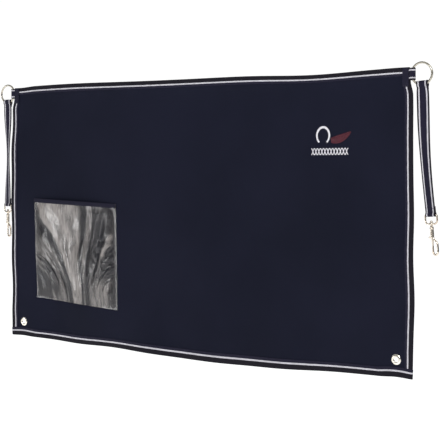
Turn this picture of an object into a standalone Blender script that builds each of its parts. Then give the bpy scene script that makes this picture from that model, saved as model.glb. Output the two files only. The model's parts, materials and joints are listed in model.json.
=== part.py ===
"""Stable-door drape: a bound cloth sheet hung by two rings, with a strap and a swivel snap on each ring.

Metres, +Z up, +X along the sheet, -Y its front. The origin is on the hanging line: midway between the
highest inner points of the two rings, where the pegs or eyes that carry the drape would bear.
"""

import math

import bmesh
import bpy
from mathutils import Matrix, Vector

GAP = 0.0003  # clearance between pieces that lie on each other
CUT_PAST = 0.002  # how far a cut runs past the faces that it opens
SHARP_ANGLE = math.radians(40.0)  # edges that bend less are shaded smooth
WIRE_SHARP_ANGLE = math.radians(60.0)

# Sheet and edge tape
SHEET_WIDTH = 1.250
SHEET_HEIGHT = 0.700
CLOTH_THICKNESS = 0.0012
TAPE_THICKNESS = 0.0008
TAPE_WIDTH = 0.0205
FOLD_RISE = 0.0009  # height of the round inside a folded tape

# Webbing
WEB_WIDTH = 0.028
WEB_THICKNESS = 0.0018

# Rings and the tabs that hold them
RING_PAST_WEB = 0.0085  # how far the ring's inside stands past half the webbing's width
RING_WIRE_RADIUS = 0.0025
RING_STEPS = 48
WIRE_SIDES = 12
BEND_STEPS = 12
TAB_TAIL = 0.013
TAB_FLARE = 0.0065
TAB_POCKET_HALF = 0.0043  # leaves room for the ring to swing inside the tab's fold
PATCH_HEIGHT = 0.044
PATCH_WIDTH = 0.0155
PATCH_INSET = 0.0035
CORNER_INSET = 0.006  # how far the tabs draw each top corner in from the side edge
CORNER_SLOPE = 0.032  # length of side edge that comes in

# Straps
STRAP_LENGTH = 0.306  # from fold to fold
STRAP_LEAN = {"left": 0.0, "right": math.radians(4.0)}
STRAP_END_TWIST = {"left": math.radians(-12.0), "right": math.radians(-15.0)}
STRAP_MIDDLE_TWIST = {"left": math.radians(-18.0), "right": math.radians(-3.0)}
TOP_TAIL = 0.021
BOTTOM_TAIL = 0.023
LOOP_TAPER = 0.006  # length over which a loop closes on itself
TWIST_STEPS = 22

# Snap: heights are below the bar that the strap goes round
EYE_WIRE_RADIUS = 0.002
EYE_SIDE_CLEARANCE = 0.00075
EYE_HEIGHT = 0.020
EYE_TOP_CORNER = 0.003
EYE_BOTTOM_CORNER = 0.008
EYE_CORNER_STEPS = 6
EYE_WIRE_SIDES = 10
BOSS_RADIUS = 0.005
BOSS_LENGTH = 0.010
BOSS_SHOULDER = 0.0014  # how far the boss draws in at its two ends
BOSS_BAND = 0.004  # height of the boss at its full radius
SWIVEL_RADIUS = 0.0023
SWIVEL_HEAD_RADIUS = 0.0036
SWIVEL_HEAD_HEIGHT = 0.0021
SWIVEL_HEAD_EDGE = 0.0008
SWIVEL_HEAD_SHOULDER = 0.0011
BARREL_RADIUS = 0.00425
BARREL_LENGTH = 0.0277
BARREL_CROWN = 0.0037
BARREL_SHOULDER = 0.00085
BARREL_SHOULDER_DROP = 0.0015
TURNED_SIDES = 20
BOLT_RADIUS = 0.0024
BOLT_LENGTH = 0.0227
BOLT_TRAVEL = 0.008
BOLT_CHAMFER = 0.0006
BOLT_SIDES = 18
KNOB_DEPTH = 0.005  # below the bolt's top end
KNOB_STEM_RADIUS = 0.0015
KNOB_RADIUS = 0.0026
KNOB_REACH = 0.0075
HOOK_WIRE_RADIUS = 0.0024
HOOK_BEND_RADIUS = 0.00675
HOOK_DEPTH = 0.036  # from the barrel's end to the middle of the wire at the bottom of the bend
HOOK_ROOT_RISE = 0.001
HOOK_SHANK = (  # share of the hook's reach, and drop below its root
    (0.33, 0.0045),
    (0.72, 0.0085),
    (0.95, 0.0135),
    (1.0, 0.020),
)
HOOK_CURVE_STEPS = 3
HOOK_TIP_CLEAR = 0.001  # the barrel's bore is cut no nearer than this to the hook's tip
KNOB_SIDES = 14
SPRING_RADIUS = 0.0019
SPRING_WIRE_RADIUS = 0.00035
SPRING_TURNS = 7
SPRING_TURN_STEPS = 12
SPRING_WIRE_SIDES = 5

# Eyelets
EYELET_BORE_RADIUS = 0.006
EYELET_WALL = 0.0006
EYELET_FLANGE_RADIUS = 0.0122
EYELET_FROM_SIDE = 0.042
EYELET_FROM_BOTTOM = 0.037
WASHER_THICKNESS = 0.0008
EYELET_ROLL = 0.0018  # how far the barrel's end is turned out over the washer
EYELET_DOME = 0.0019  # height of the flange's dome in front of the cloth
EYELET_DOME_DIP = 0.0002  # how much lower the dome is at the bore
EYELET_SHOULDER = 0.003
EYELET_EDGE = 0.001
EYELET_SIDES = 28
EYELET_HOLE_SIDES = 24

# Document pocket
POCKET_WIDTH = 0.300
POCKET_HEIGHT = 0.278
POCKET_FROM_LEFT = 0.090
POCKET_FROM_BOTTOM = 0.102
POCKET_TILT = math.radians(2.8)
POCKET_DEPTH = 0.008
POCKET_SEAM = 0.008
POCKET_SLOPE = 0.015
FILM_THICKNESS = 0.0006
POCKET_TAPE_WIDTH = 0.012
POCKET_TAPE_CLEAR = 0.00076  # between the rim's tape, where it starts, and the film's seam

# Embroidered motif
MOTIF_FROM_LEFT = 1.036
MOTIF_FROM_TOP = 0.163
STITCH_HEIGHT = 0.0006
SHOE_WIDTH = 0.034
SHOE_HEIGHT = 0.040
SHOE_BAND = 0.0065
SHOE_OPENING = math.radians(38.0)  # half the angle left open at the heel
SHOE_STEPS = 24
SHOE_FROM_MIDDLE = 0.0184  # the shoe's centre is this far to the left
SHOE_RISE = 0.0128
FLASH_GAP = 0.002
FLASH_OUTLINE = (  # from the flash's left end and the shoe's centre
    (0.0, -0.015),
    (0.038, -0.015),
    (0.050, 0.001),
    (0.046, 0.005),
    (0.018, 0.003),
    (0.004, -0.004),
)
BRAID_WIDTH = 0.100
BRAID_BAND = 0.0026
BRAID_HEIGHT = 0.0150
BRAID_WAVES = 6
BRAID_DROP = 0.0255

# Derived places
CLOTH_HALF = CLOTH_THICKNESS / 2
TAPE_INNER_HALF = CLOTH_HALF + GAP
FOLD_DEPTH = FOLD_RISE + TAPE_THICKNESS
PATCH_INNER_HALF = CLOTH_HALF + GAP + WEB_THICKNESS + GAP
RING_INNER_RADIUS = WEB_WIDTH / 2 + RING_PAST_WEB
RING_RADIUS = RING_INNER_RADIUS + RING_WIRE_RADIUS
RING_OUTER_RADIUS = RING_RADIUS + RING_WIRE_RADIUS
RING_Z = -RING_INNER_RADIUS
TOP_Z = RING_Z + WEB_WIDTH / 2 + FOLD_DEPTH + GAP
BOTTOM_Z = TOP_Z - SHEET_HEIGHT
EDGE_X = SHEET_WIDTH / 2
CLOTH_EDGE_X = EDGE_X - FOLD_DEPTH
CORNER_X = EDGE_X - CORNER_INSET
RING_X = CORNER_X + RING_OUTER_RADIUS
SIDE_TOP_Z = RING_Z - WEB_WIDTH / 2 - GAP
SLOPE_Z = SIDE_TOP_Z - CORNER_SLOPE
LOOP_FAR = math.sqrt(RING_INNER_RADIUS**2 - (WEB_WIDTH / 2) ** 2) - GAP
WEB_CHORD = math.sqrt(RING_RADIUS**2 - (WEB_WIDTH / 2) ** 2)
RING_AXIS_X = RING_X - (RING_RADIUS + WEB_CHORD) / 2
LOOP_LAYER_Y = (WEB_THICKNESS + GAP) / 2
STRAP_BAR_DROP = LOOP_FAR - WEB_THICKNESS + STRAP_LENGTH - EYE_WIRE_RADIUS - GAP - WEB_THICKNESS
EYE_HALF_WIDTH = WEB_WIDTH / 2 + EYE_SIDE_CLEARANCE + EYE_WIRE_RADIUS
BOSS_TOP = EYE_HEIGHT - BOSS_LENGTH / 2
BOSS_BOTTOM = EYE_HEIGHT + BOSS_LENGTH / 2
BARREL_TOP = BOSS_BOTTOM + GAP
BARREL_BOTTOM = BARREL_TOP + BARREL_LENGTH
BORE_TOP = BARREL_TOP + BARREL_CROWN
BOLT_TOP = BARREL_BOTTOM - BOLT_TRAVEL
BOLT_BOTTOM = BOLT_TOP + BOLT_LENGTH
KNOB_Z = BOLT_TOP + KNOB_DEPTH
HOOK_BOTTOM = BARREL_BOTTOM + HOOK_DEPTH


def clear_scene():
    for old in list(bpy.data.objects):
        bpy.data.objects.remove(old, do_unlink=True)


def principled(name, colour, roughness, metallic=0.0, alpha=1.0):
    material = bpy.data.materials.new(name)
    material.use_nodes = True
    shader = material.node_tree.nodes["Principled BSDF"]
    shader.inputs["Base Color"].default_value = (*colour, 1.0)
    shader.inputs["Roughness"].default_value = roughness
    shader.inputs["Metallic"].default_value = metallic
    shader.inputs["Alpha"].default_value = alpha
    return material


def add_mesh(name, bm, material, parent=None, smooth_angle=None):
    """Makes an object from a bmesh, with its normals outward."""
    bmesh.ops.recalc_face_normals(bm, faces=bm.faces)
    mesh = bpy.data.meshes.new(name)
    bm.to_mesh(mesh)
    bm.free()
    mesh.materials.append(material)
    if smooth_angle is not None:
        mesh.shade_smooth()
        mesh.set_sharp_from_angle(angle=smooth_angle)
    obj = bpy.data.objects.new(name, mesh)
    bpy.context.collection.objects.link(obj)
    obj.parent = parent
    return obj


def add_pivot(name, location, parent=None, rotation=(0.0, 0.0, 0.0)):
    """Makes an empty that stands on a joint's axis."""
    empty = bpy.data.objects.new(name, None)
    empty.location = location
    empty.rotation_euler = rotation
    bpy.context.collection.objects.link(empty)
    empty.parent = parent
    return empty


def add_boolean(target, operand, operation):
    """Joins or cuts target with operand, which stays as a wire guide."""
    operand.hide_render = True
    operand.display_type = "WIRE"
    modifier = target.modifiers.new(operand.name, "BOOLEAN")
    modifier.object = operand
    modifier.operation = operation


def sweep(outline, path, side, closed=False):
    """Carries a closed outline of (u, v) along a path. u runs along side and v along side x direction."""
    bm = bmesh.new()
    steps = [(b - a).normalized() for a, b in zip(path, [*path[1:], path[0]])]
    if not closed:
        steps[-1] = steps[-2]
    rings = []
    for i, point in enumerate(path):
        ahead = steps[i]
        behind = steps[i - 1] if closed or i > 0 else ahead
        tangent = (ahead + behind).normalized()
        across = (side - side.dot(tangent) * tangent).normalized()
        normal = across.cross(tangent)
        mitre = 1.0 / max(tangent.dot(ahead), 0.5)
        rings.append([bm.verts.new(point + across * u + normal * (v * mitre)) for u, v in outline])
    pairs = list(zip(rings, rings[1:]))
    if closed:
        pairs.append((rings[-1], rings[0]))
    for a, b in pairs:
        for j in range(len(outline)):
            k = (j + 1) % len(outline)
            bm.faces.new((a[j], a[k], b[k], b[j]))
    if not closed:
        bm.faces.new(rings[0])
        bm.faces.new(rings[-1])
    return bm


def turned(profile, segments, axis="Z"):
    """Turns a closed profile of (radius, height) about an axis."""
    bm = bmesh.new()
    verts = [bm.verts.new((radius, 0.0, height)) for radius, height in profile]
    edges = [bm.edges.new((a, b)) for a, b in zip(verts, verts[1:] + verts[:1])]
    bmesh.ops.spin(
        bm, geom=verts + edges, cent=(0, 0, 0), axis=(0, 0, 1), angle=2 * math.pi, steps=segments,
        use_merge=True, use_duplicate=False,
    )
    bmesh.ops.remove_doubles(bm, verts=bm.verts, dist=1e-7)
    flat = [face for face in bm.faces if face.calc_area() < 1e-12]
    bmesh.ops.delete(bm, geom=flat, context="FACES")
    loose = [edge for edge in bm.edges if not edge.link_faces]
    bmesh.ops.delete(bm, geom=loose, context="EDGES")
    if axis == "Y":
        bm.transform(Matrix.Rotation(math.radians(-90.0), 4, "X"))
    if axis == "X":
        bm.transform(Matrix.Rotation(math.radians(90.0), 4, "Y"))
    return bm


def block(low, high):
    """A box between two corners."""
    bm = bmesh.new()
    size = Vector(high) - Vector(low)
    middle = (Vector(high) + Vector(low)) / 2
    bmesh.ops.create_cube(bm, size=1.0, matrix=Matrix.Translation(middle) @ Matrix.Diagonal((*size, 1.0)))
    return bm


def circle(radius, segments):
    steps = [2 * math.pi * i / segments for i in range(segments)]
    return [(radius * math.cos(a), radius * math.sin(a)) for a in steps]


def arc(centre, radius, start, end, steps):
    """Points (a, b) of an arc in a plane, angles from the first axis towards the second."""
    angles = [start + (end - start) * i / steps for i in range(steps + 1)]
    return [(centre[0] + radius * math.cos(a), centre[1] + radius * math.sin(a)) for a in angles]


def rectangle(width, height):
    x, y = width / 2, height / 2
    return [(-x, -y), (x, -y), (x, y), (-x, y)]


def smooth_curve(points, steps):
    """A Catmull-Rom curve through the given points."""
    ends = [points[0] * 2 - points[1], *points, points[-1] * 2 - points[-2]]
    curve = []
    for i in range(len(points) - 1):
        a, b, c, d = ends[i : i + 4]
        for step in range(steps):
            t = step / steps
            squared = (2 * a - 5 * b + 4 * c - d) * t**2
            cubed = (3 * b - a - 3 * c + d) * t**3
            curve.append(0.5 * (2 * b + (c - a) * t + squared + cubed))
    return [*curve, points[-1]]


def folded_tape(leg, inner_half):
    """Section of a tape folded over an edge: u across the fold, v from its outer line down the legs."""
    outer_half = inner_half + TAPE_THICKNESS
    steps = 6
    section = [(-outer_half, leg)]
    for i in range(steps + 1):
        a = math.pi * i / steps
        section.append((-outer_half * math.cos(a), FOLD_DEPTH * (1.0 - math.sin(a))))
    section += [(outer_half, leg), (inner_half, leg)]
    for i in range(steps + 1):
        a = math.pi * i / steps
        section.append((inner_half * math.cos(a), FOLD_DEPTH - FOLD_RISE * math.sin(a)))
    section.append((-inner_half, leg))
    return section


def make_sheet(cloth):
    narrow_x = CLOTH_EDGE_X - CORNER_INSET
    right = [
        (CLOTH_EDGE_X, BOTTOM_Z + FOLD_DEPTH), (CLOTH_EDGE_X, SLOPE_Z), (narrow_x, SIDE_TOP_Z),
        (narrow_x, TOP_Z - FOLD_DEPTH),
    ]
    outline = [*right, *[(-x, z) for x, z in reversed(right)]]
    path = [Vector((0, -CLOTH_HALF, 0)), Vector((0, CLOTH_HALF, 0))]
    sheet = add_mesh("panel_sheet", sweep(outline, path, Vector((1, 0, 0))), cloth)
    hole_radius = EYELET_BORE_RADIUS + EYELET_WALL + GAP
    for side, sign in (("left", -1), ("right", 1)):
        past = CLOTH_HALF + CUT_PAST
        profile = [(0.0, -past), (hole_radius, -past), (hole_radius, past), (0.0, past)]
        cutter = add_mesh(f"cut_eyelet_{side}", turned(profile, EYELET_HOLE_SIDES, "Y"), cloth)
        cutter.location = eyelet_place(sign)
        add_boolean(sheet, cutter, "DIFFERENCE")


def make_bindings(tape):
    across = Vector((0, 1, 0))
    section = folded_tape(TAPE_WIDTH, TAPE_INNER_HALF)
    top_end = CORNER_X - PATCH_INSET - PATCH_WIDTH - GAP
    side_bottom = BOTTOM_Z + TAPE_WIDTH + GAP
    runs = {
        "binding_top": ((-top_end, TOP_Z), (top_end, TOP_Z)),
        "binding_bottom": ((EDGE_X, BOTTOM_Z), (-EDGE_X, BOTTOM_Z)),
        "binding_left": ((-EDGE_X, side_bottom), (-EDGE_X, SLOPE_Z), (-CORNER_X, SIDE_TOP_Z)),
        "binding_right": ((CORNER_X, SIDE_TOP_Z), (EDGE_X, SLOPE_Z), (EDGE_X, side_bottom)),
    }
    for name, ends in runs.items():
        path = [Vector((x, 0, z)) for x, z in ends]
        add_mesh(name, sweep(section, path, across), tape, smooth_angle=SHARP_ANGLE)


def make_corner(side, sign, tape, webbing):
    """The patch over a top corner and the webbing tab that holds the ring."""
    outer = CORNER_X - PATCH_INSET
    path = [Vector((sign * x, 0, TOP_Z)) for x in (outer - PATCH_WIDTH, outer)]
    section = folded_tape(PATCH_HEIGHT, PATCH_INNER_HALF)
    if sign < 0:
        path.reverse()
    bm = sweep(section, path, Vector((0, 1, 0)))
    add_mesh(f"corner_patch_{side}", bm, tape, smooth_angle=SHARP_ANGLE)

    flat_y = CLOTH_HALF + GAP + WEB_THICKNESS / 2
    pocket_y = TAB_POCKET_HALF + WEB_THICKNESS / 2
    flare_x = outer + GAP
    tail_x = flare_x - TAB_TAIL
    bend_x = RING_X - LOOP_FAR - TAB_POCKET_HALF
    ramp = [
        (flare_x + TAB_FLARE * t, flat_y + (pocket_y - flat_y) * (1 - math.cos(math.pi * t)) / 2)
        for t in (0.0, 0.25, 0.5, 0.75, 1.0)
    ]
    bend = arc((bend_x, 0.0), pocket_y, math.pi / 2, -math.pi / 2, BEND_STEPS)
    back = [(tail_x, flat_y), *ramp]
    route = [*back, *bend, *[(x, -y) for x, y in reversed(back)]]
    path = [Vector((sign * x, y, 0)) for x, y in route]
    bm = sweep(rectangle(WEB_WIDTH, WEB_THICKNESS), path, Vector((0, 0, 1)))
    tab = add_mesh(f"ring_tab_{side}", bm, webbing, smooth_angle=SHARP_ANGLE)
    tab.location = (0, 0, RING_Z)


def make_ring(side, sign, metal):
    pivot = add_pivot(f"ring_axis_{side}", (sign * RING_AXIS_X, 0, RING_Z))
    path = [Vector((x, 0, z)) for x, z in circle(RING_RADIUS, RING_STEPS)]
    bm = sweep(circle(RING_WIRE_RADIUS, WIRE_SIDES), path, Vector((0, 1, 0)), closed=True)
    ring = add_mesh(f"ring_{side}", bm, metal, pivot, smooth_angle=WIRE_SHARP_ANGLE)
    ring.location = (sign * (RING_X - RING_AXIS_X), 0, 0)
    return pivot


def strap_route():
    """The webbing's middle line from tail to tail, as (y, drop below the ring's centre)."""
    ring_half = RING_WIRE_RADIUS + GAP + WEB_THICKNESS / 2
    ring_bend = LOOP_FAR + RING_WIRE_RADIUS + GAP
    ring_low = RING_RADIUS + GAP * 3
    bar_half = EYE_WIRE_RADIUS + GAP + WEB_THICKNESS / 2
    top_fold = LOOP_FAR - WEB_THICKNESS
    bottom_fold = top_fold + STRAP_LENGTH
    top_closed = ring_low + LOOP_TAPER
    bottom_closed = STRAP_BAR_DROP - LOOP_TAPER - GAP * 3
    route = [(LOOP_LAYER_Y, top_fold + TOP_TAIL), (LOOP_LAYER_Y, top_closed), (ring_half, ring_low)]
    route += [(y, ring_bend - rise) for y, rise in arc((0, 0), ring_half, 0, math.pi, BEND_STEPS)]
    route += [(-ring_half, ring_low)]
    for i in range(TWIST_STEPS + 1):
        route.append((-LOOP_LAYER_Y, top_closed + (bottom_closed - top_closed) * i / TWIST_STEPS))
    route += [(-y, STRAP_BAR_DROP + fall) for y, fall in arc((0, 0), bar_half, 0, math.pi, BEND_STEPS)]
    route += [(LOOP_LAYER_Y, bottom_closed), (LOOP_LAYER_Y, bottom_fold - BOTTOM_TAIL)]
    return route, top_closed, bottom_closed


def make_strap(side, sign, ring_pivot, webbing):
    """The strap, in the frame of the ring's centre: it slides round the ring as it swings."""
    place = (sign * (RING_X - RING_AXIS_X), 0, 0)
    pivot = add_pivot(f"strap_axis_{side}", place, ring_pivot, (0, -sign * STRAP_LEAN[side], 0))
    route, top_closed, bottom_closed = strap_route()
    path = [Vector((0, y, -drop)) for y, drop in route]
    bm = sweep(rectangle(WEB_WIDTH, WEB_THICKNESS), path, Vector((1, 0, 0)))
    for vert in bm.verts:
        t = min(max((-vert.co.z - top_closed) / (bottom_closed - top_closed), 0.0), 1.0)
        towards_end = STRAP_END_TWIST[side] * t * t * (3 - 2 * t)
        in_middle = STRAP_MIDDLE_TWIST[side] * math.sin(math.pi * t) ** 2
        vert.co = Matrix.Rotation(towards_end + in_middle, 3, "Z") @ vert.co
    add_mesh(f"strap_{side}", bm, webbing, pivot, smooth_angle=SHARP_ANGLE)
    return pivot


def eye_route():
    """The middle line of the eye's wire: a bar on top, rounded corners below."""
    half, top, low = EYE_HALF_WIDTH, EYE_TOP_CORNER, EYE_BOTTOM_CORNER
    corners = [
        ((half - top, -top), top, 0.0, math.pi / 2),
        ((top - half, -top), top, math.pi / 2, math.pi),
        ((low - half, low - EYE_HEIGHT), low, math.pi, 1.5 * math.pi),
        ((half - low, low - EYE_HEIGHT), low, 1.5 * math.pi, 2 * math.pi),
    ]
    points = []
    for centre, radius, start, end in corners:
        points += arc(centre, radius, start, end, EYE_CORNER_STEPS)
    return points


def make_eye(side, strap_pivot, metal):
    """The strap eye, with the boss that the swivel turns in."""
    place = (0, 0, -STRAP_BAR_DROP)
    pivot = add_pivot(f"eye_axis_{side}", place, strap_pivot, (0, 0, STRAP_END_TWIST[side]))
    path = [Vector((x, 0, z)) for x, z in eye_route()]
    bm = sweep(circle(EYE_WIRE_RADIUS, EYE_WIRE_SIDES), path, Vector((0, 1, 0)), closed=True)
    eye = add_mesh(f"snap_eye_{side}", bm, metal, pivot, smooth_angle=WIRE_SHARP_ANGLE)
    face = BOSS_RADIUS - BOSS_SHOULDER
    profile = [
        (0.0, -BOSS_TOP),
        (face, -BOSS_TOP),
        (BOSS_RADIUS, -EYE_HEIGHT + BOSS_BAND / 2),
        (BOSS_RADIUS, -EYE_HEIGHT - BOSS_BAND / 2),
        (face, -BOSS_BOTTOM),
        (0.0, -BOSS_BOTTOM),
    ]
    boss = add_mesh(f"boss_{side}", turned(profile, TURNED_SIDES), metal, pivot)
    add_boolean(eye, boss, "UNION")
    hole = SWIVEL_RADIUS + GAP
    above, below = -BOSS_TOP + CUT_PAST, -BOSS_BOTTOM - CUT_PAST
    profile = [(0.0, above), (hole, above), (hole, below), (0.0, below)]
    cutter = add_mesh(f"cut_boss_{side}", turned(profile, TURNED_SIDES), metal, pivot)
    add_boolean(eye, cutter, "DIFFERENCE")
    return pivot


def hook_route():
    """The hook's middle line: out of the barrel's side, round the bend and up to the tip under the bolt."""
    reach = 2 * HOOK_BEND_RADIUS
    bend_z = -HOOK_BOTTOM + HOOK_BEND_RADIUS
    root = -BARREL_BOTTOM + HOOK_WIRE_RADIUS
    shank = [(BARREL_RADIUS - HOOK_WIRE_RADIUS, root + HOOK_ROOT_RISE)]
    shank += [(reach * share, root - drop) for share, drop in HOOK_SHANK]
    shank += [(reach, bend_z)]
    curve = smooth_curve([Vector((x, 0, z)) for x, z in shank], HOOK_CURVE_STEPS)
    bend = arc((HOOK_BEND_RADIUS, bend_z), HOOK_BEND_RADIUS, 0, -math.pi, BEND_STEPS)[1:]
    tip = Vector((0, 0, -BOLT_BOTTOM - GAP))
    return [*curve, *[Vector((x, 0, z)) for x, z in bend], tip]


def make_snap_body(side, eye_pivot, metal):
    """Barrel, swivel stem and hook, forged in one."""
    pivot = add_pivot(f"swivel_axis_{side}", (0, 0, 0), eye_pivot)
    head_bottom = BOSS_TOP - GAP
    head_top = head_bottom - SWIVEL_HEAD_HEIGHT
    bore = BOLT_RADIUS + GAP
    profile = [
        (0.0, -head_top),
        (SWIVEL_HEAD_RADIUS - SWIVEL_HEAD_SHOULDER, -head_top),
        (SWIVEL_HEAD_RADIUS, -head_bottom + SWIVEL_HEAD_EDGE),
        (SWIVEL_HEAD_RADIUS, -head_bottom),
        (SWIVEL_RADIUS, -head_bottom),
        (SWIVEL_RADIUS, -BARREL_TOP),
        (BARREL_RADIUS - BARREL_SHOULDER, -BARREL_TOP),
        (BARREL_RADIUS, -BARREL_TOP - BARREL_SHOULDER_DROP),
        (BARREL_RADIUS, -BARREL_BOTTOM),
        (bore, -BARREL_BOTTOM),
        (bore, -BORE_TOP),
        (0.0, -BORE_TOP),
    ]
    bm = turned(profile, TURNED_SIDES)
    body = add_mesh(f"snap_body_{side}", bm, metal, pivot, smooth_angle=SHARP_ANGLE)
    bm = sweep(circle(HOOK_WIRE_RADIUS, EYE_WIRE_SIDES), hook_route(), Vector((0, 1, 0)))
    hook = add_mesh(f"hook_{side}", bm, metal, pivot)
    add_boolean(body, hook, "UNION")
    below = -BOLT_BOTTOM + HOOK_TIP_CLEAR
    profile = [(0.0, below), (bore, below), (bore, -BORE_TOP), (0.0, -BORE_TOP)]
    bore_cutter = add_mesh(f"cut_bore_{side}", turned(profile, TURNED_SIDES), metal, pivot)
    add_boolean(body, bore_cutter, "DIFFERENCE")
    reach = KNOB_STEM_RADIUS + GAP
    low = (-2 * BARREL_RADIUS, -reach, -KNOB_Z - reach)
    high = (0.0, reach, -KNOB_Z + BOLT_TRAVEL + reach)
    slot = add_mesh(f"cut_slot_{side}", block(low, high), metal, pivot)
    add_boolean(body, slot, "DIFFERENCE")
    return pivot


def make_bolt(side, swivel_pivot, metal):
    """The sliding bolt with its thumb knob, and the spring that pushes it shut."""
    profile = [
        (0.0, -BOLT_TOP),
        (BOLT_RADIUS, -BOLT_TOP),
        (BOLT_RADIUS, -BOLT_BOTTOM + BOLT_CHAMFER),
        (BOLT_RADIUS - BOLT_CHAMFER, -BOLT_BOTTOM),
        (0.0, -BOLT_BOTTOM),
    ]
    bm = turned(profile, BOLT_SIDES)
    bolt = add_mesh(f"snap_bolt_{side}", bm, metal, swivel_pivot, smooth_angle=SHARP_ANGLE)
    half = KNOB_RADIUS * math.cos(math.pi / 4)
    joined = math.sqrt(KNOB_RADIUS**2 - KNOB_STEM_RADIUS**2)
    profile = [
        (0.0, 0.0),
        (KNOB_STEM_RADIUS, 0.0),
        (KNOB_STEM_RADIUS, -KNOB_REACH + joined),
        (half, -KNOB_REACH + half),
        (KNOB_RADIUS, -KNOB_REACH),
        (half, -KNOB_REACH - half),
        (0.0, -KNOB_REACH - KNOB_RADIUS),
    ]
    knob = add_mesh(f"knob_{side}", turned(profile, KNOB_SIDES, "X"), metal, swivel_pivot)
    knob.location = (0, 0, -KNOB_Z)
    add_boolean(bolt, knob, "UNION")

    top = -BORE_TOP - GAP - SPRING_WIRE_RADIUS
    height = BOLT_TOP - BORE_TOP - 2 * (GAP + SPRING_WIRE_RADIUS)
    steps = SPRING_TURNS * SPRING_TURN_STEPS
    path = []
    for i in range(steps + 1):
        angle = 2 * math.pi * i / SPRING_TURN_STEPS
        x, y = SPRING_RADIUS * math.cos(angle), SPRING_RADIUS * math.sin(angle)
        path.append(Vector((x, y, top - height * i / steps)))
    bm = sweep(circle(SPRING_WIRE_RADIUS, SPRING_WIRE_SIDES), path, Vector((0, 0, 1)))
    add_mesh(f"bolt_spring_{side}", bm, metal, swivel_pivot, smooth_angle=WIRE_SHARP_ANGLE)


def eyelet_place(sign):
    return (sign * (EDGE_X - EYELET_FROM_SIDE), 0, BOTTOM_Z + EYELET_FROM_BOTTOM)


def make_eyelet(side, sign, metal):
    """An eyelet through the cloth: domed flange in front, washer behind, and the barrel rolled over it."""
    bore, flange = EYELET_BORE_RADIUS, EYELET_FLANGE_RADIUS
    outside = bore + EYELET_WALL
    face = CLOTH_HALF + GAP
    washer_back = face + WASHER_THICKNESS
    roll_front = washer_back + GAP
    roll_back = roll_front + EYELET_WALL
    crest = face + EYELET_DOME
    lip = crest - EYELET_DOME_DIP
    profile = [
        (bore, -lip + EYELET_WALL),
        (outside, -lip),
        (flange - EYELET_SHOULDER, -crest),
        (flange - EYELET_EDGE, -face - EYELET_EDGE),
        (flange, -face),
        (outside, -face),
        (outside, roll_front),
        (outside + EYELET_ROLL, roll_front),
        (outside + EYELET_ROLL, roll_back),
        (bore, roll_back),
    ]
    bm = turned(profile, EYELET_SIDES, "Y")
    eyelet = add_mesh(f"eyelet_{side}", bm, metal, smooth_angle=SHARP_ANGLE)
    eyelet.location = eyelet_place(sign)
    inner = outside + GAP
    profile = [(inner, face), (flange, face), (flange, washer_back), (inner, washer_back)]
    bm = turned(profile, EYELET_SIDES, "Y")
    washer = add_mesh(f"eyelet_washer_{side}", bm, metal, smooth_angle=SHARP_ANGLE)
    washer.location = eyelet_place(sign)


def pocket_pivot():
    x = -EDGE_X + POCKET_FROM_LEFT + POCKET_WIDTH / 2
    z = BOTTOM_Z + POCKET_FROM_BOTTOM + POCKET_HEIGHT / 2
    return add_pivot("pocket_centre", (x, 0, z), None, (0, POCKET_TILT, 0))


def make_pocket(pivot, film, tape):
    """A clear tray sewn down on three sides, open along its top, with a tape folded over the rim."""
    half, top, bottom = POCKET_WIDTH / 2, POCKET_HEIGHT / 2, -POCKET_HEIGHT / 2
    seam_y = -(CLOTH_HALF + GAP + FILM_THICKNESS / 2)
    out_y = -(CLOTH_HALF + POCKET_DEPTH + FILM_THICKNESS / 2)
    seam_x = -half + POCKET_SEAM
    front_x = seam_x + POCKET_SLOPE
    columns = [-half, seam_x, front_x, -front_x, -seam_x, half]
    rows = [bottom, bottom + POCKET_SEAM, bottom + POCKET_SEAM + POCKET_SLOPE, top]
    bm = bmesh.new()
    grid = []
    for z in rows:
        depths = [out_y if abs(x) <= -front_x and z >= rows[2] else seam_y for x in columns]
        grid.append([bm.verts.new((x, y, z)) for x, y in zip(columns, depths)])
    for low, high in zip(grid, grid[1:]):
        for i in range(len(columns) - 1):
            bm.faces.new((low[i], low[i + 1], high[i + 1], high[i]))
    window = add_mesh("pocket_window", bm, film, pivot)
    wall = window.modifiers.new("film", "SOLIDIFY")
    wall.thickness = FILM_THICKNESS
    wall.offset = 0.0
    wall.use_even_offset = True

    inner_half = FILM_THICKNESS / 2 + GAP
    start_rise = inner_half + TAPE_THICKNESS + POCKET_TAPE_CLEAR
    start_x = seam_x + POCKET_SLOPE * start_rise / (seam_y - out_y)
    start_y = seam_y - start_rise
    rim = [(start_x, start_y), (front_x, out_y), (-front_x, out_y), (-start_x, start_y)]
    path = [Vector((x, y, top + FOLD_DEPTH + GAP)) for x, y in rim]
    section = [(v, u) for u, v in folded_tape(POCKET_TAPE_WIDTH, inner_half)]
    bm = sweep(section, path, Vector((0, 0, -1)))
    add_mesh("pocket_tape", bm, tape, pivot, smooth_angle=SHARP_ANGLE)


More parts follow.
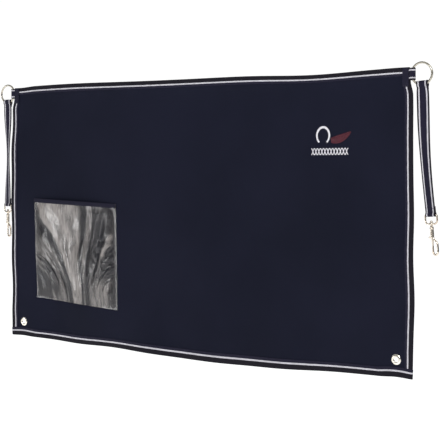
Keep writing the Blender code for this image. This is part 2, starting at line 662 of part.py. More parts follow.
def make_motif(thread_white, thread_red):
    """A plain horseshoe with a flash beside it and a braid below, standing on the cloth as thread does."""
    face_y = -(CLOTH_HALF + GAP + STITCH_HEIGHT / 2)
    place = (-EDGE_X + MOTIF_FROM_LEFT, face_y, TOP_Z - MOTIF_FROM_TOP)
    start = -math.pi / 2 + SHOE_OPENING
    end = 1.5 * math.pi - SHOE_OPENING
    path = []
    for i in range(SHOE_STEPS + 1):
        a = start + (end - start) * i / SHOE_STEPS
        x = -SHOE_FROM_MIDDLE + SHOE_WIDTH / 2 * math.cos(a)
        path.append(Vector((x, 0, SHOE_RISE + SHOE_HEIGHT / 2 * math.sin(a))))
    bm = sweep(rectangle(STITCH_HEIGHT, SHOE_BAND), path, Vector((0, 1, 0)))
    add_mesh("motif_horseshoe", bm, thread_white).location = place

    left = -SHOE_FROM_MIDDLE + (SHOE_WIDTH + SHOE_BAND) / 2 + FLASH_GAP
    flash = [(left + x, SHOE_RISE + z) for x, z in FLASH_OUTLINE]
    through = [Vector((0, -STITCH_HEIGHT / 2, 0)), Vector((0, STITCH_HEIGHT / 2, 0))]
    add_mesh("motif_flash", sweep(flash, through, Vector((1, 0, 0))), thread_red).location = place

    path = []
    for i in range(2 * BRAID_WAVES + 1):
        swing = BRAID_HEIGHT / 2 * (1 if i % 2 else -1)
        path.append(Vector((BRAID_WIDTH * (i / (2 * BRAID_WAVES) - 0.5), 0, swing - BRAID_DROP)))
    bm = sweep(rectangle(STITCH_HEIGHT, BRAID_BAND), path, Vector((0, 1, 0)))
    add_mesh("motif_braid", bm, thread_white).location = place


def main():
    clear_scene()
    cloth = principled("navy_cloth", (0.010, 0.011, 0.026), 0.85)
    tape = principled("navy_tape", (0.017, 0.015, 0.026), 0.8)
    webbing = principled("striped_webbing", (0.022, 0.020, 0.040), 0.8)
    nickel = principled("nickel_plate", (0.55, 0.52, 0.46), 0.28, 1.0)
    film = principled("clear_film", (0.75, 0.76, 0.78), 0.12, alpha=0.35)
    white = principled("white_thread", (0.80, 0.80, 0.84), 0.6)
    red = principled("red_thread", (0.10, 0.01, 0.025), 0.6)

    make_sheet(cloth)
    make_bindings(tape)
    for side, sign in (("left", -1), ("right", 1)):
        make_corner(side, sign, tape, webbing)
        ring_pivot = make_ring(side, sign, nickel)
        strap_pivot = make_strap(side, sign, ring_pivot, webbing)
        eye_pivot = make_eye(side, strap_pivot, nickel)
        swivel_pivot = make_snap_body(side, eye_pivot, nickel)
        make_bolt(side, swivel_pivot, nickel)
        make_eyelet(side, sign, nickel)
    make_pocket(pocket_pivot(), film, tape)
    make_motif(white, red)
    bpy.context.view_layer.update()


main()
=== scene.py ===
"""Looks of a stable-door drape: bound navy cloth, striped webbing, nickel rings and snaps, and a clear pocket.

Metres, +Z up, +X along the sheet, -Y its front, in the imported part's own frame. Everything on the sheet is made
flat, where the part has it, and then takes the cloth's hang from one shared function, so the layers stay together.
"""

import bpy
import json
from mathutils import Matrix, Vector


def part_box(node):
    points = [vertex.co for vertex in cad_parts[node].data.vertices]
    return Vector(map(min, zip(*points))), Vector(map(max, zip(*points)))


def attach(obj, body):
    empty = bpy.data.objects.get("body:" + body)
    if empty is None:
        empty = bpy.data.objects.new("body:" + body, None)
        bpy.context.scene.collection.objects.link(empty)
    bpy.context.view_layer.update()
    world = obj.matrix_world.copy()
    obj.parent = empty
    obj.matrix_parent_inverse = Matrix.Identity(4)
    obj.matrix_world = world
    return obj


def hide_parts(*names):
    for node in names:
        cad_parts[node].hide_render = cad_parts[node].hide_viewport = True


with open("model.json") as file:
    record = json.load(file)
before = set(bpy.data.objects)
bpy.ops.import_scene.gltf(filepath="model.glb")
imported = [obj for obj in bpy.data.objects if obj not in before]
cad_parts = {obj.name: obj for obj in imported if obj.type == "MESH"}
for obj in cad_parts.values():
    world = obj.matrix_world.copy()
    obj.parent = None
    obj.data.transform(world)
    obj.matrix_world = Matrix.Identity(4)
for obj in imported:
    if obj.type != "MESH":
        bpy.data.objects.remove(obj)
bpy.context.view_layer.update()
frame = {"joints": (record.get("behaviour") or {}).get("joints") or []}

import json
import logging
import math
from collections.abc import Callable, Sequence
from dataclasses import dataclass, field
from enum import Enum

import bmesh
import bpy
import numpy as np
from mathutils import Matrix, Vector, noise

log = logging.getLogger("drape")

ROOT = "drape"
GAP = 0.0003
CLOTH_HALF = 0.0006
TAPE_THICKNESS = 0.0008
TAPE_WIDTH = 0.0205
FOLD_DEPTH = 0.0017
WEB_WIDTH = 0.028
WEB_THICKNESS = 0.0018

Colour = tuple[float, float, float]
Shaper = Callable[[np.ndarray], np.ndarray]


class Side(Enum):
    """Left and right of the sheet, as seen from the front."""

    LEFT = -1
    RIGHT = 1

    @property
    def word(self) -> str:
        """The side's name as the part's nodes use it."""
        return self.name.lower()


class Weave(Enum):
    """How a woven surface is laid out."""

    PLAIN = "plain"
    TWILL = "twill"


# --------------------------------------------------------------------------------------------------
# Node trees
# --------------------------------------------------------------------------------------------------


class TreeBuilder:
    """Adds and joins nodes in a shader or geometry tree."""

    def __init__(self, tree: bpy.types.NodeTree) -> None:
        """Takes the tree to add to.

        Args:
            tree: A shader or geometry node tree.
        """
        self.tree = tree

    def add(self, kind: str, inputs: dict | None = None, **settings: object) -> bpy.types.Node:
        """Adds a node.

        Args:
            kind: The node's type name.
            inputs: Values or sockets by input name or index.
            **settings: The node's own properties.

        Returns:
            The new node.
        """
        node = self.tree.nodes.new(kind)
        for key, value in settings.items():
            setattr(node, key, value)
        for key, value in (inputs or {}).items():
            self.feed(node.inputs[key], value)
        return node

    def feed(self, socket: bpy.types.NodeSocket, value: object) -> None:
        """Links a socket into another, or sets its value.

        Args:
            socket: The input socket.
            value: A socket to link from, or a plain value.
        """
        if isinstance(value, bpy.types.NodeSocket):
            self.tree.links.new(value, socket)
        else:
            socket.default_value = value

    def math(self, operation: str, *values: object) -> bpy.types.NodeSocket:
        """One Math node.

        Args:
            operation: The node's operation.
            *values: Its operands.

        Returns:
            The result's socket.
        """
        inputs = dict(enumerate(values))
        return self.add("ShaderNodeMath", inputs, operation=operation).outputs[0]

    def ramp(
        self, value: object, low: float, high: float, to_low: float, to_high: float
    ) -> bpy.types.NodeSocket:
        """Maps a value smoothly from one range to another.

        Args:
            value: The socket to map.
            low: Where the result is to_low.
            high: Where the result is to_high.
            to_low: Result at low.
            to_high: Result at high.

        Returns:
            The result's socket.
        """
        inputs = {"Value": value, "From Min": low, "From Max": high, "To Min": to_low, "To Max": to_high}
        return self.add("ShaderNodeMapRange", inputs, interpolation_type="SMOOTHSTEP").outputs[0]

    def blend(self, share: object, first: object, second: object) -> bpy.types.NodeSocket:
        """Mixes two colours.

        Args:
            share: How much of the second there is.
            first: Colour at 0.
            second: Colour at 1.

        Returns:
            The mixed colour's socket.
        """
        node = self.add("ShaderNodeMix", data_type="RGBA")
        self.feed(node.inputs[0], share)
        for index, colour in ((6, first), (7, second)):
            self.feed(node.inputs[index], (*colour, 1.0) if isinstance(colour, tuple) else colour)
        return node.outputs[2]

    def noise(self, coordinates: object, scale: float, detail: float = 3.0) -> bpy.types.NodeSocket:
        """Noise from 0 to 1.

        Args:
            coordinates: Where it is read.
            scale: Features per metre.
            detail: Octaves.

        Returns:
            The factor's socket.
        """
        inputs = {"Vector": coordinates, "Scale": scale, "Detail": detail}
        return self.add("ShaderNodeTexNoise", inputs).outputs["Fac"]

    def stretched(self, coordinates: object, scale: tuple[float, float, float]) -> bpy.types.NodeSocket:
        """Coordinates scaled apart along their axes.

        Args:
            coordinates: What is scaled.
            scale: Factors along X, Y and Z.

        Returns:
            The scaled coordinates' socket.
        """
        return self.add("ShaderNodeMapping", {"Vector": coordinates, "Scale": scale}).outputs[0]


class SurfaceBuilder(TreeBuilder):
    """A material's tree with its shader, to which a finish adds colour, roughness and relief."""

    def __init__(self, name: str, values: dict[str, object]) -> None:
        """Makes the material.

        Args:
            name: The material's name.
            values: Constant values of the shader's sockets.
        """
        self.material = bpy.data.materials.new(name)
        self.material.use_nodes = True
        super().__init__(self.material.node_tree)
        self.shader = self.tree.nodes["Principled BSDF"]
        for key, value in values.items():
            self.shader.inputs[key].default_value = value

    def place(self) -> bpy.types.NodeSocket:
        """The point on the piece, in metres."""
        return self.add("ShaderNodeTexCoord").outputs["Object"]

    def along_and_across(self) -> tuple[bpy.types.NodeSocket, bpy.types.NodeSocket]:
        """The piece's own map: metres along it and across it."""
        split = self.add("ShaderNodeSeparateXYZ", {0: self.add("ShaderNodeTexCoord").outputs["UV"]})
        return split.outputs[0], split.outputs[1]

    def set(self, socket: str, value: bpy.types.NodeSocket) -> None:
        """Links a varying value into the shader."""
        self.feed(self.shader.inputs[socket], value)

    def relief(self, height: bpy.types.NodeSocket, depth: float, strength: float = 1.0) -> None:
        """Gives the surface a fine relief.

        Args:
            height: The relief's height from 0 to 1.
            depth: Its depth in metres.
            strength: How much of it shows.
        """
        inputs = {"Height": height, "Distance": depth, "Strength": strength}
        bump = self.add("ShaderNodeBump", inputs)
        self.set("Normal", bump.outputs[0])

    def weave(self, a: object, b: object, pitch: float, weave: Weave) -> bpy.types.NodeSocket:
        """Crossing threads as a height from -1 to 1.

        Args:
            a: Distance along the warp.
            b: Distance along the weft.
            pitch: Thread spacing.
            weave: How the threads cross.

        Returns:
            The height's socket.
        """
        turn = math.pi / pitch
        first = self.math("SINE", self.math("MULTIPLY", a, turn))
        if weave is Weave.TWILL:
            slant = self.math("ADD", self.math("MULTIPLY", a, turn * 0.5), self.math("MULTIPLY", b, turn))
            return self.math("MULTIPLY", self.math("ABSOLUTE", self.math("SINE", slant)), first)
        return self.math("MULTIPLY", first, self.math("SINE", self.math("MULTIPLY", b, turn)))


# --------------------------------------------------------------------------------------------------
# Finishes
# --------------------------------------------------------------------------------------------------


@dataclass(frozen=True)
class ClothFinish:
    """Closely woven navy polyester with faint shade changes, lint and a soft sheen."""

    name: str = "navy_cloth"
    base: Colour = (0.0050, 0.0060, 0.0140)
    worn: Colour = (0.0086, 0.0096, 0.0215)
    lint: Colour = (0.026, 0.027, 0.042)
    pitch: float = 0.0008
    relief_depth: float = 0.00012

    def build(self) -> bpy.types.Material:
        """Returns the material."""
        values = {"Specular IOR Level": 0.07, "Sheen Weight": 0.02, "Sheen Roughness": 0.4}
        s = SurfaceBuilder(self.name, values)
        at = s.place()
        split = s.add("ShaderNodeSeparateXYZ", {0: at})
        broad = s.ramp(s.noise(at, 3.2, 4.0), 0.32, 0.68, 0.0, 1.0)
        slub = s.noise(s.stretched(at, (60.0, 60.0, 900.0)), 1.0, 2.0)
        tone = s.math("ADD", s.math("MULTIPLY", broad, 0.6), s.math("MULTIPLY", slub, 0.4))
        colour = s.blend(tone, self.base, self.worn)
        speck = s.ramp(s.noise(at, 620.0, 2.0), 0.72, 0.80, 0.0, 0.5)
        s.set("Base Color", s.blend(speck, colour, self.lint))
        s.set("Roughness", s.ramp(slub, 0.2, 0.8, 0.62, 0.82))
        threads = s.weave(split.outputs[0], split.outputs[2], self.pitch, Weave.PLAIN)
        height = s.math("ADD", threads, s.math("MULTIPLY", slub, 0.8))
        s.relief(height, self.relief_depth, 0.7)
        return s.material


@dataclass(frozen=True)
class BandFinish:
    """Woven tape or webbing: a ground, a second ground inside the stripe, and light stripes along it."""

    name: str
    ground: Colour
    inner: Colour
    stripe: Colour = (0.56, 0.545, 0.59)
    stripes: tuple[float, ...] = ()
    stripe_half: float = 0.0015
    inner_from: float = 1.0
    rib: float = 0.0011
    relief_depth: float = 0.00022

    def build(self) -> bpy.types.Material:
        """Returns the material."""
        values = {"Specular IOR Level": 0.10, "Sheen Weight": 0.03, "Sheen Roughness": 0.4}
        s = SurfaceBuilder(self.name, values)
        along, across = s.along_and_across()
        off_middle = s.math("ABSOLUTE", across)
        at = s.place()
        wander = s.math("MULTIPLY", s.math("SUBTRACT", s.noise(at, 45.0, 2.0), 0.5), 0.0006)
        width = s.math("ADD", off_middle, wander)
        mottle = s.noise(at, 300.0, 3.0)
        inside = s.ramp(width, self.inner_from - 0.0003, self.inner_from + 0.0003, 0.0, 1.0)
        colour = s.blend(inside, self.ground, self.inner)
        light = tuple(min(c * 1.7, 1.0) for c in self.ground)
        colour = s.blend(s.ramp(mottle, 0.45, 0.8, 0.0, 0.6), colour, light)
        stripe = None
        for centre in self.stripes:
            away = s.math("ABSOLUTE", s.math("SUBTRACT", width, centre))
            edge = s.ramp(away, self.stripe_half - 0.0002, self.stripe_half + 0.0002, 1.0, 0.0)
            stripe = edge if stripe is None else s.math("MAXIMUM", stripe, edge)
        if stripe is not None:
            grubby = s.ramp(s.noise(at, 60.0, 4.0), 0.35, 0.75, 0.0, 0.45)
            dull = tuple(c * 0.62 for c in self.stripe)
            colour = s.blend(stripe, colour, s.blend(grubby, self.stripe, dull))
        s.set("Base Color", colour)
        s.set("Roughness", s.ramp(mottle, 0.3, 0.7, 0.6, 0.82))
        threads = s.weave(along, across, self.rib, Weave.TWILL)
        height = s.math("ADD", threads, s.math("MULTIPLY", mottle, 0.6))
        s.relief(height, self.relief_depth, 0.8)
        return s.material


@dataclass(frozen=True)
class MetalFinish:
    """Plated metal, slightly dulled, with darker stains and fine handling marks."""

    name: str
    bright: Colour
    stained: Colour
    roughness: float = 0.2
    stain: float = 0.5

    def build(self) -> bpy.types.Material:
        """Returns the material."""
        s = SurfaceBuilder(self.name, {"Metallic": 1.0})
        at = s.place()
        patches = s.noise(at, 110.0, 5.0)
        fine = s.noise(at, 1500.0, 3.0)
        scratches = s.noise(s.stretched(at, (300.0, 2600.0, 500.0)), 1.0, 2.0)
        share = s.ramp(patches, 0.42, 0.72, 0.0, self.stain)
        s.set("Base Color", s.blend(share, self.bright, self.stained))
        rough = s.math("ADD", s.ramp(patches, 0.35, 0.75, self.roughness * 0.7, self.roughness * 1.6), 0.0)
        s.set("Roughness", s.math("ADD", rough, s.math("MULTIPLY", scratches, 0.08)))
        height = s.math("ADD", fine, s.math("MULTIPLY", patches, 1.6))
        s.relief(height, 0.00008, 0.5)
        return s.material


@dataclass(frozen=True)
class FilmFinish:
    """Soft clear film: it shows the dark cloth behind and shines in streaks; painted reflection streaks, brightest on
    crease crests and in a wedge from the upper left, with painted shade in the crease valleys, are put into its colour
    and alpha.
    """

    name: str = "clear_film"
    body: Colour = (0.020, 0.020, 0.024)
    # Painted reflection: the colour of the light streaks painted into the film.
    whitened: Colour = (0.30, 0.275, 0.262)
    dust: Colour = (0.42, 0.40, 0.39)
    # Alpha runs from the clear film to the full painted reflection streaks.
    clear: float = 0.38
    milky: float = 0.88

    def build(self) -> bpy.types.Material:
        """Returns the material."""
        values = {"IOR": 1.5, "Specular IOR Level": 0.5, "Coat Weight": 0.25, "Coat Roughness": 0.05}
        s = SurfaceBuilder(self.name, values)
        at = s.place()
        fold = s.add("ShaderNodeAttribute", attribute_name="crease").outputs["Fac"]
        # Painted reflection: the share of painted light streaks kept on the film's mesh.
        haze = s.add("ShaderNodeAttribute", attribute_name="haze").outputs["Fac"]
        cloud = s.noise(at, 24.0, 4.0)
        fine = s.noise(s.stretched(at, (240.0, 240.0, 46.0)), 1.0, 3.0)
        # Painted highlights on the crease crests, and painted shade that dims the streaks in the crease valleys.
        crest = s.math("MULTIPLY", s.ramp(fold, 0.66, 0.90, 0.0, 0.75), s.ramp(cloud, 0.38, 0.60, 0.15, 1.0))
        painted_valley_shade = s.ramp(fold, 0.24, 0.42, 0.25, 1.0)
        painted_streak_veil = s.math("MULTIPLY", s.math("MULTIPLY", haze, painted_valley_shade), s.ramp(fine, 0.3, 0.7, 0.72, 1.1))
        share = s.math("MINIMUM", s.math("MAXIMUM", painted_streak_veil, crest), 1.0)
        speck = s.ramp(s.noise(at, 800.0, 2.0), 0.68, 0.78, 0.0, 0.4)
        # The colour carries the painted reflection streaks; the specks on top are dust.
        s.set("Base Color", s.blend(speck, s.blend(share, self.body, self.whitened), self.dust))
        s.set("Alpha", s.ramp(share, 0.0, 1.0, self.clear, self.milky))
        s.set("Roughness", s.ramp(cloud, 0.3, 0.7, 0.12, 0.26))
        s.relief(s.math("ADD", cloud, s.math("MULTIPLY", fine, 0.35)), 0.0010, 0.4)
        return s.material


@dataclass(frozen=True)
class ThreadFinish:
    """Twisted thread, with the shine of its lay and some colour change from stitch to stitch."""

    name: str
    base: Colour
    shade: Colour

    def build(self) -> bpy.types.Material:
        """Returns the material."""
        s = SurfaceBuilder(
            self.name, {"Specular IOR Level": 0.35, "Sheen Weight": 0.15, "Sheen Roughness": 0.35}
        )
        at = s.place()
        strand = s.noise(s.stretched(at, (900.0, 900.0, 900.0)), 1.0, 2.0)
        patch = s.noise(at, 90.0, 2.0)
        tone = s.math("ADD", s.math("MULTIPLY", strand, 0.6), s.math("MULTIPLY", patch, 0.4))
        s.set("Base Color", s.blend(s.ramp(tone, 0.3, 0.7, 0.0, 1.0), self.base, self.shade))
        s.set("Roughness", s.ramp(strand, 0.3, 0.7, 0.42, 0.6))
        s.relief(strand, 0.00005, 0.6)
        return s.material


@dataclass
class Finishes:
    """Every material of the drape, built once."""

    cloth: bpy.types.Material = field(default_factory=lambda: ClothFinish().build())
    tape: bpy.types.Material = field(
        default_factory=lambda: BandFinish(
            "edge_tape", (0.0090, 0.0080, 0.0125), (0.0125, 0.0118, 0.0265), stripes=(0.0125,),
            stripe_half=0.0017, inner_from=0.0125,
        ).build()
    )
    plain_tape: bpy.types.Material = field(
        default_factory=lambda: BandFinish(
            "plain_tape", (0.0115, 0.0110, 0.0230), (0.0115, 0.0110, 0.0230)
        ).build()
    )
    webbing: bpy.types.Material = field(
        default_factory=lambda: BandFinish(
            "striped_webbing", (0.0125, 0.0115, 0.0250), (0.0110, 0.0095, 0.0135), stripes=(0.0087,),
            inner_from=0.0087, rib=0.0013, relief_depth=0.0003,
        ).build()
    )
    nickel: bpy.types.Material = field(
        default_factory=lambda: MetalFinish(
            "ring_nickel", (0.48, 0.45, 0.38), (0.20, 0.17, 0.12), 0.22
        ).build()
    )
    snap_metal: bpy.types.Material = field(
        default_factory=lambda: MetalFinish(
            "snap_nickel", (0.66, 0.60, 0.52), (0.34, 0.22, 0.13), 0.18, 0.6
        ).build()
    )
    eyelet_metal: bpy.types.Material = field(
        default_factory=lambda: MetalFinish(
            "eyelet_nickel", (0.80, 0.76, 0.68), (0.50, 0.43, 0.32), 0.16, 0.4
        ).build()
    )
    spring_metal: bpy.types.Material = field(
        default_factory=lambda: MetalFinish(
            "spring_wire", (0.42, 0.42, 0.43), (0.24, 0.22, 0.20), 0.3
        ).build()
    )
    film: bpy.types.Material = field(default_factory=lambda: FilmFinish().build())
    seam_thread: bpy.types.Material = field(
        default_factory=lambda: ThreadFinish(
            "navy_thread", (0.020, 0.019, 0.036), (0.010, 0.009, 0.018)
        ).build()
    )
    white_thread: bpy.types.Material = field(
        default_factory=lambda: ThreadFinish("white_thread", (0.80, 0.79, 0.83), (0.60, 0.58, 0.62)).build()
    )
    red_thread: bpy.types.Material = field(
        default_factory=lambda: ThreadFinish(
            "dark_red_thread", (0.085, 0.006, 0.018), (0.045, 0.003, 0.010)
        ).build()
    )


# --------------------------------------------------------------------------------------------------
# Mesh tools
# --------------------------------------------------------------------------------------------------


def smoothstep(value: np.ndarray, low: float, high: float) -> np.ndarray:
    """Rises smoothly from 0 at low to 1 at high."""
    t = np.clip((value - low) / (high - low), 0.0, 1.0)
    return t * t * (3 - 2 * t)


def mesh_object(
    name: str,
    verts: np.ndarray,
    faces: Sequence[Sequence[int]],
    material: bpy.types.Material,
    uv: np.ndarray | None = None,
) -> bpy.types.Object:
    """Makes a smooth-shaded object at the origin with its normals outward.

    Args:
        name: The piece's name.
        verts: Points, n by 3.
        faces: Vertex indices of each face.
        material: Its finish.
        uv: Metres along and across for each point, where the finish needs them.

    Returns:
        The new object.
    """
    mesh = bpy.data.meshes.new(name)
    mesh.from_pydata(np.asarray(verts, float).tolist(), [], [list(f) for f in faces])
    if uv is not None:
        layer = mesh.uv_layers.new(name="map")
        corners = np.zeros(len(mesh.loops), np.int32)
        mesh.loops.foreach_get("vertex_index", corners)
        layer.data.foreach_set("uv", np.asarray(uv, np.float32)[corners].ravel())
    bm = bmesh.new()
    bm.from_mesh(mesh)
    bmesh.ops.recalc_face_normals(bm, faces=bm.faces)
    bm.to_mesh(mesh)
    bm.free()
    mesh.materials.append(material)
    mesh.shade_smooth()
    mesh.set_sharp_from_angle(angle=math.radians(50))
    obj = bpy.data.objects.new(name, mesh)
    bpy.context.collection.objects.link(obj)
    return obj


def settle(obj: bpy.types.Object) -> bpy.types.Object:
    """Turns an object and its modifiers into a plain mesh."""
    graph = bpy.context.evaluated_depsgraph_get()
    mesh = bpy.data.meshes.new_from_object(obj.evaluated_get(graph))
    obj.modifiers.clear()
    obj.data = mesh
    return obj


def join(name: str, parts: Sequence[bpy.types.Object]) -> bpy.types.Object:
    """Joins plain meshes into one object.

    Args:
        name: The joined piece's name.
        parts: Objects at the origin, with no modifiers.

    Returns:
        The joined object.
    """
    with bpy.context.temp_override(active_object=parts[0], selected_editable_objects=list(parts)):
        bpy.ops.object.join()
    parts[0].name = name
    parts[0].data.name = name
    return parts[0]


def reshape(obj: bpy.types.Object, shaper: Shaper) -> bpy.types.Object:
    """Moves every point of a mesh by a function of its place."""
    co = np.zeros(len(obj.data.vertices) * 3, np.float32)
    obj.data.vertices.foreach_get("co", co)
    moved = shaper(co.reshape(-1, 3).astype(float))
    obj.data.vertices.foreach_set("co", moved.astype(np.float32).ravel())
    obj.data.update()
    return obj


def place(obj: bpy.types.Object, matrix: Matrix) -> bpy.types.Object:
    """Puts a mesh in place, in its points, so that its object stays at the origin."""
    obj.data.transform(matrix)
    obj.data.update()
    return obj


def sweep(
    section: Sequence[tuple[float, float]],
    path: np.ndarray,
    side: Sequence[float],
    closed: bool = False,
    radii: np.ndarray | None = None,
) -> tuple[np.ndarray, list[tuple[int, ...]], np.ndarray]:
    """Carries a closed section along a path.

    Args:
        section: (u, v) points, u along side and v along side x direction.
        path: Points, n by 3.
        side: The direction that u keeps to.
        closed: Whether the path returns to its start.
        radii: A scale of the section at each path point.

    Returns:
        Points, faces and the distance along the path at each point.
    """
    path = np.asarray(path, float)
    if closed:
        ahead = np.roll(path, -1, 0) - path
        behind = path - np.roll(path, 1, 0)
    else:
        steps = np.diff(path, axis=0)
        ahead = np.vstack([steps, steps[-1:]])
        behind = np.vstack([steps[:1], steps])
    ahead /= np.linalg.norm(ahead, axis=1)[:, None]
    behind /= np.linalg.norm(behind, axis=1)[:, None]
    tangent = ahead + behind
    tangent /= np.linalg.norm(tangent, axis=1)[:, None]
    mitre = 1.0 / np.maximum((tangent * ahead).sum(1), 0.5)
    side = np.asarray(side, float)
    across = side - (tangent @ side)[:, None] * tangent
    across /= np.linalg.norm(across, axis=1)[:, None]
    normal = np.cross(across, tangent)
    scale = np.ones(len(path)) if radii is None else np.asarray(radii, float)
    uv = np.asarray(section, float)
    rings = (
        path[:, None, :]
        + across[:, None, :] * (uv[None, :, 0] * scale[:, None])[..., None]
        + normal[:, None, :] * (uv[None, :, 1] * (mitre * scale)[:, None])[..., None]
    )
    count, size = len(path), len(uv)
    spans = range(count if closed else count - 1)
    faces = []
    for i in spans:
        a, b = i * size, ((i + 1) % count) * size
        faces += [(a + j, a + (j + 1) % size, b + (j + 1) % size, b + j) for j in range(size)]
    if not closed:
        faces += [tuple(range(size)), tuple(range((count - 1) * size, count * size))]
    travelled = np.concatenate([[0.0], np.cumsum(np.linalg.norm(np.diff(path, axis=0), axis=1))])
    return rings.reshape(-1, 3), faces, np.repeat(travelled, size)


def lathe(
    name: str, profile: Sequence[tuple[float, float]], steps: int, material: bpy.types.Material
) -> bpy.types.Object:
    """Turns a closed profile of (radius, height) about Z.

    Args:
        name: The piece's name.
        profile: The profile's corners; points on the axis have radius 0.
        steps: Segments round the axis.
        material: Its finish.

    Returns:
        The turned object.
    """
    bm = bmesh.new()
    ring = [bm.verts.new((radius, 0.0, height)) for radius, height in profile]
    edges = [bm.edges.new(pair) for pair in zip(ring, ring[1:] + ring[:1])]
    bmesh.ops.spin(
        bm, geom=ring + edges, cent=(0, 0, 0), axis=(0, 0, 1), angle=2 * math.pi, steps=steps, use_merge=True
    )
    bmesh.ops.remove_doubles(bm, verts=bm.verts, dist=1e-7)
    bmesh.ops.delete(bm, geom=[e for e in bm.edges if not e.link_faces], context="EDGES")
    bmesh.ops.dissolve_degenerate(bm, edges=bm.edges, dist=1e-8)
    mesh = bpy.data.meshes.new(name)
    bm.to_mesh(mesh)
    bm.free()
    verts = np.array([v.co for v in mesh.vertices], float).reshape(-1, 3)
    faces = [tuple(p.vertices) for p in mesh.polygons]
    bpy.data.meshes.remove(mesh)
    return mesh_object(name, verts, faces, material)


def shell(
    front: np.ndarray, back: np.ndarray, quads: Sequence[Sequence[int]]
) -> tuple[np.ndarray, list[tuple[int, ...]]]:
    """Closes two matching surfaces into one thin solid, with walls at every edge and hole.

    Args:
        front: The front surface's points.
        back: The back surface's points, in the same order.
        quads: The faces of either surface.

    Returns:
        Points and faces of the solid.
    """
    count = len(front)
    used: dict[tuple[int, int], tuple[int, int]] = {}
    for quad in quads:
        for a, b in zip(quad, (*quad[1:], quad[0])):
            key = (min(a, b), max(a, b))
            if key in used:
                del used[key]
            else:
                used[key] = (a, b)
    faces = [tuple(q) for q in quads]
    faces += [tuple(i + count for i in reversed(q)) for q in quads]
    faces += [(b, a, a + count, b + count) for a, b in used.values()]
    return np.vstack([front, back]), faces


def compact(
    verts: np.ndarray, faces: Sequence[Sequence[int]]
) -> tuple[np.ndarray, list[tuple[int, ...]], np.ndarray]:
    """Leaves out points that no face uses, and returns the kept points, the faces and the kept indices."""
    kept = np.unique(np.concatenate([np.asarray(f) for f in faces]))
    index = np.full(len(verts), -1)
    index[kept] = np.arange(len(kept))
    return verts[kept], [tuple(int(index[i]) for i in f) for f in faces], kept


def grid_quads(rows: int, columns: int) -> list[tuple[int, int, int, int]]:
    """The quads of a grid whose points run row by row."""
    corners = [(j * columns + i) for j in range(rows - 1) for i in range(columns - 1)]
    return [(a, a + 1, a + columns + 1, a + columns) for a in corners]


def circle(radius: float, steps: int) -> list[tuple[float, float]]:
    """Points round a circle."""
    angles = [2 * math.pi * i / steps for i in range(steps)]
    return [(radius * math.cos(a), radius * math.sin(a)) for a in angles]


def arc(
    centre: tuple[float, float], radius: float, start: float, end: float, steps: int
) -> list[tuple[float, float]]:
    """Points along an arc, from the first axis towards the second."""
    angles = [start + (end - start) * i / steps for i in range(steps + 1)]
    return [(centre[0] + radius * math.cos(a), centre[1] + radius * math.sin(a)) for a in angles]


def spline(points: Sequence[tuple[float, float]], steps: int) -> np.ndarray:
    """A smooth curve through points in the XZ plane.

    Args:
        points: (x, z) points.
        steps: Points made for each span.

    Returns:
        Points, n by 3.
    """
    p = np.array([(x, 0.0, z) for x, z in points])
    ends = np.vstack([2 * p[0] - p[1], p, 2 * p[-1] - p[-2]])
    curve = []
    for i in range(len(p) - 1):
        a, b, c, d = ends[i : i + 4]
        for t in np.arange(steps) / steps:
            cubic = (2 * a - 5 * b + 4 * c - d) * t**2 + (3 * b - a - 3 * c + d) * t**3
            curve.append(0.5 * (2 * b + (c - a) * t + cubic))
    return np.vstack([*curve, p[-1]])


def middle(node: str) -> Vector:
    """The middle of a part's node at rest."""
    low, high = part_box(node)
    return (low + high) / 2


def joint(name: str) -> dict:
    """The part's joint of that name."""
    return next(j for j in frame["joints"] if j["name"] == name)


def hand_over(
    obj: bpy.types.Object, body: str, replaced: Sequence[str] = ()
) -> bpy.types.Object:
    """Lets a finished piece ride on its body and hides the part's nodes that it stands for.

    Args:
        obj: The finished piece, at the origin.
        body: The part's body that it moves with.
        replaced: The part's nodes that it stands for.

    Returns:
        The piece.
    """
    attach(obj, body)
    if replaced:
        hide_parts(*replaced)
    log.info("%s on %s, %d faces", obj.name, body, len(obj.data.polygons))
    return obj


# --------------------------------------------------------------------------------------------------
# Stitches
# --------------------------------------------------------------------------------------------------


class RowKind(Enum):
    """How threads lie on a row's line."""

    RUNNING = "running"
    SATIN = "satin"


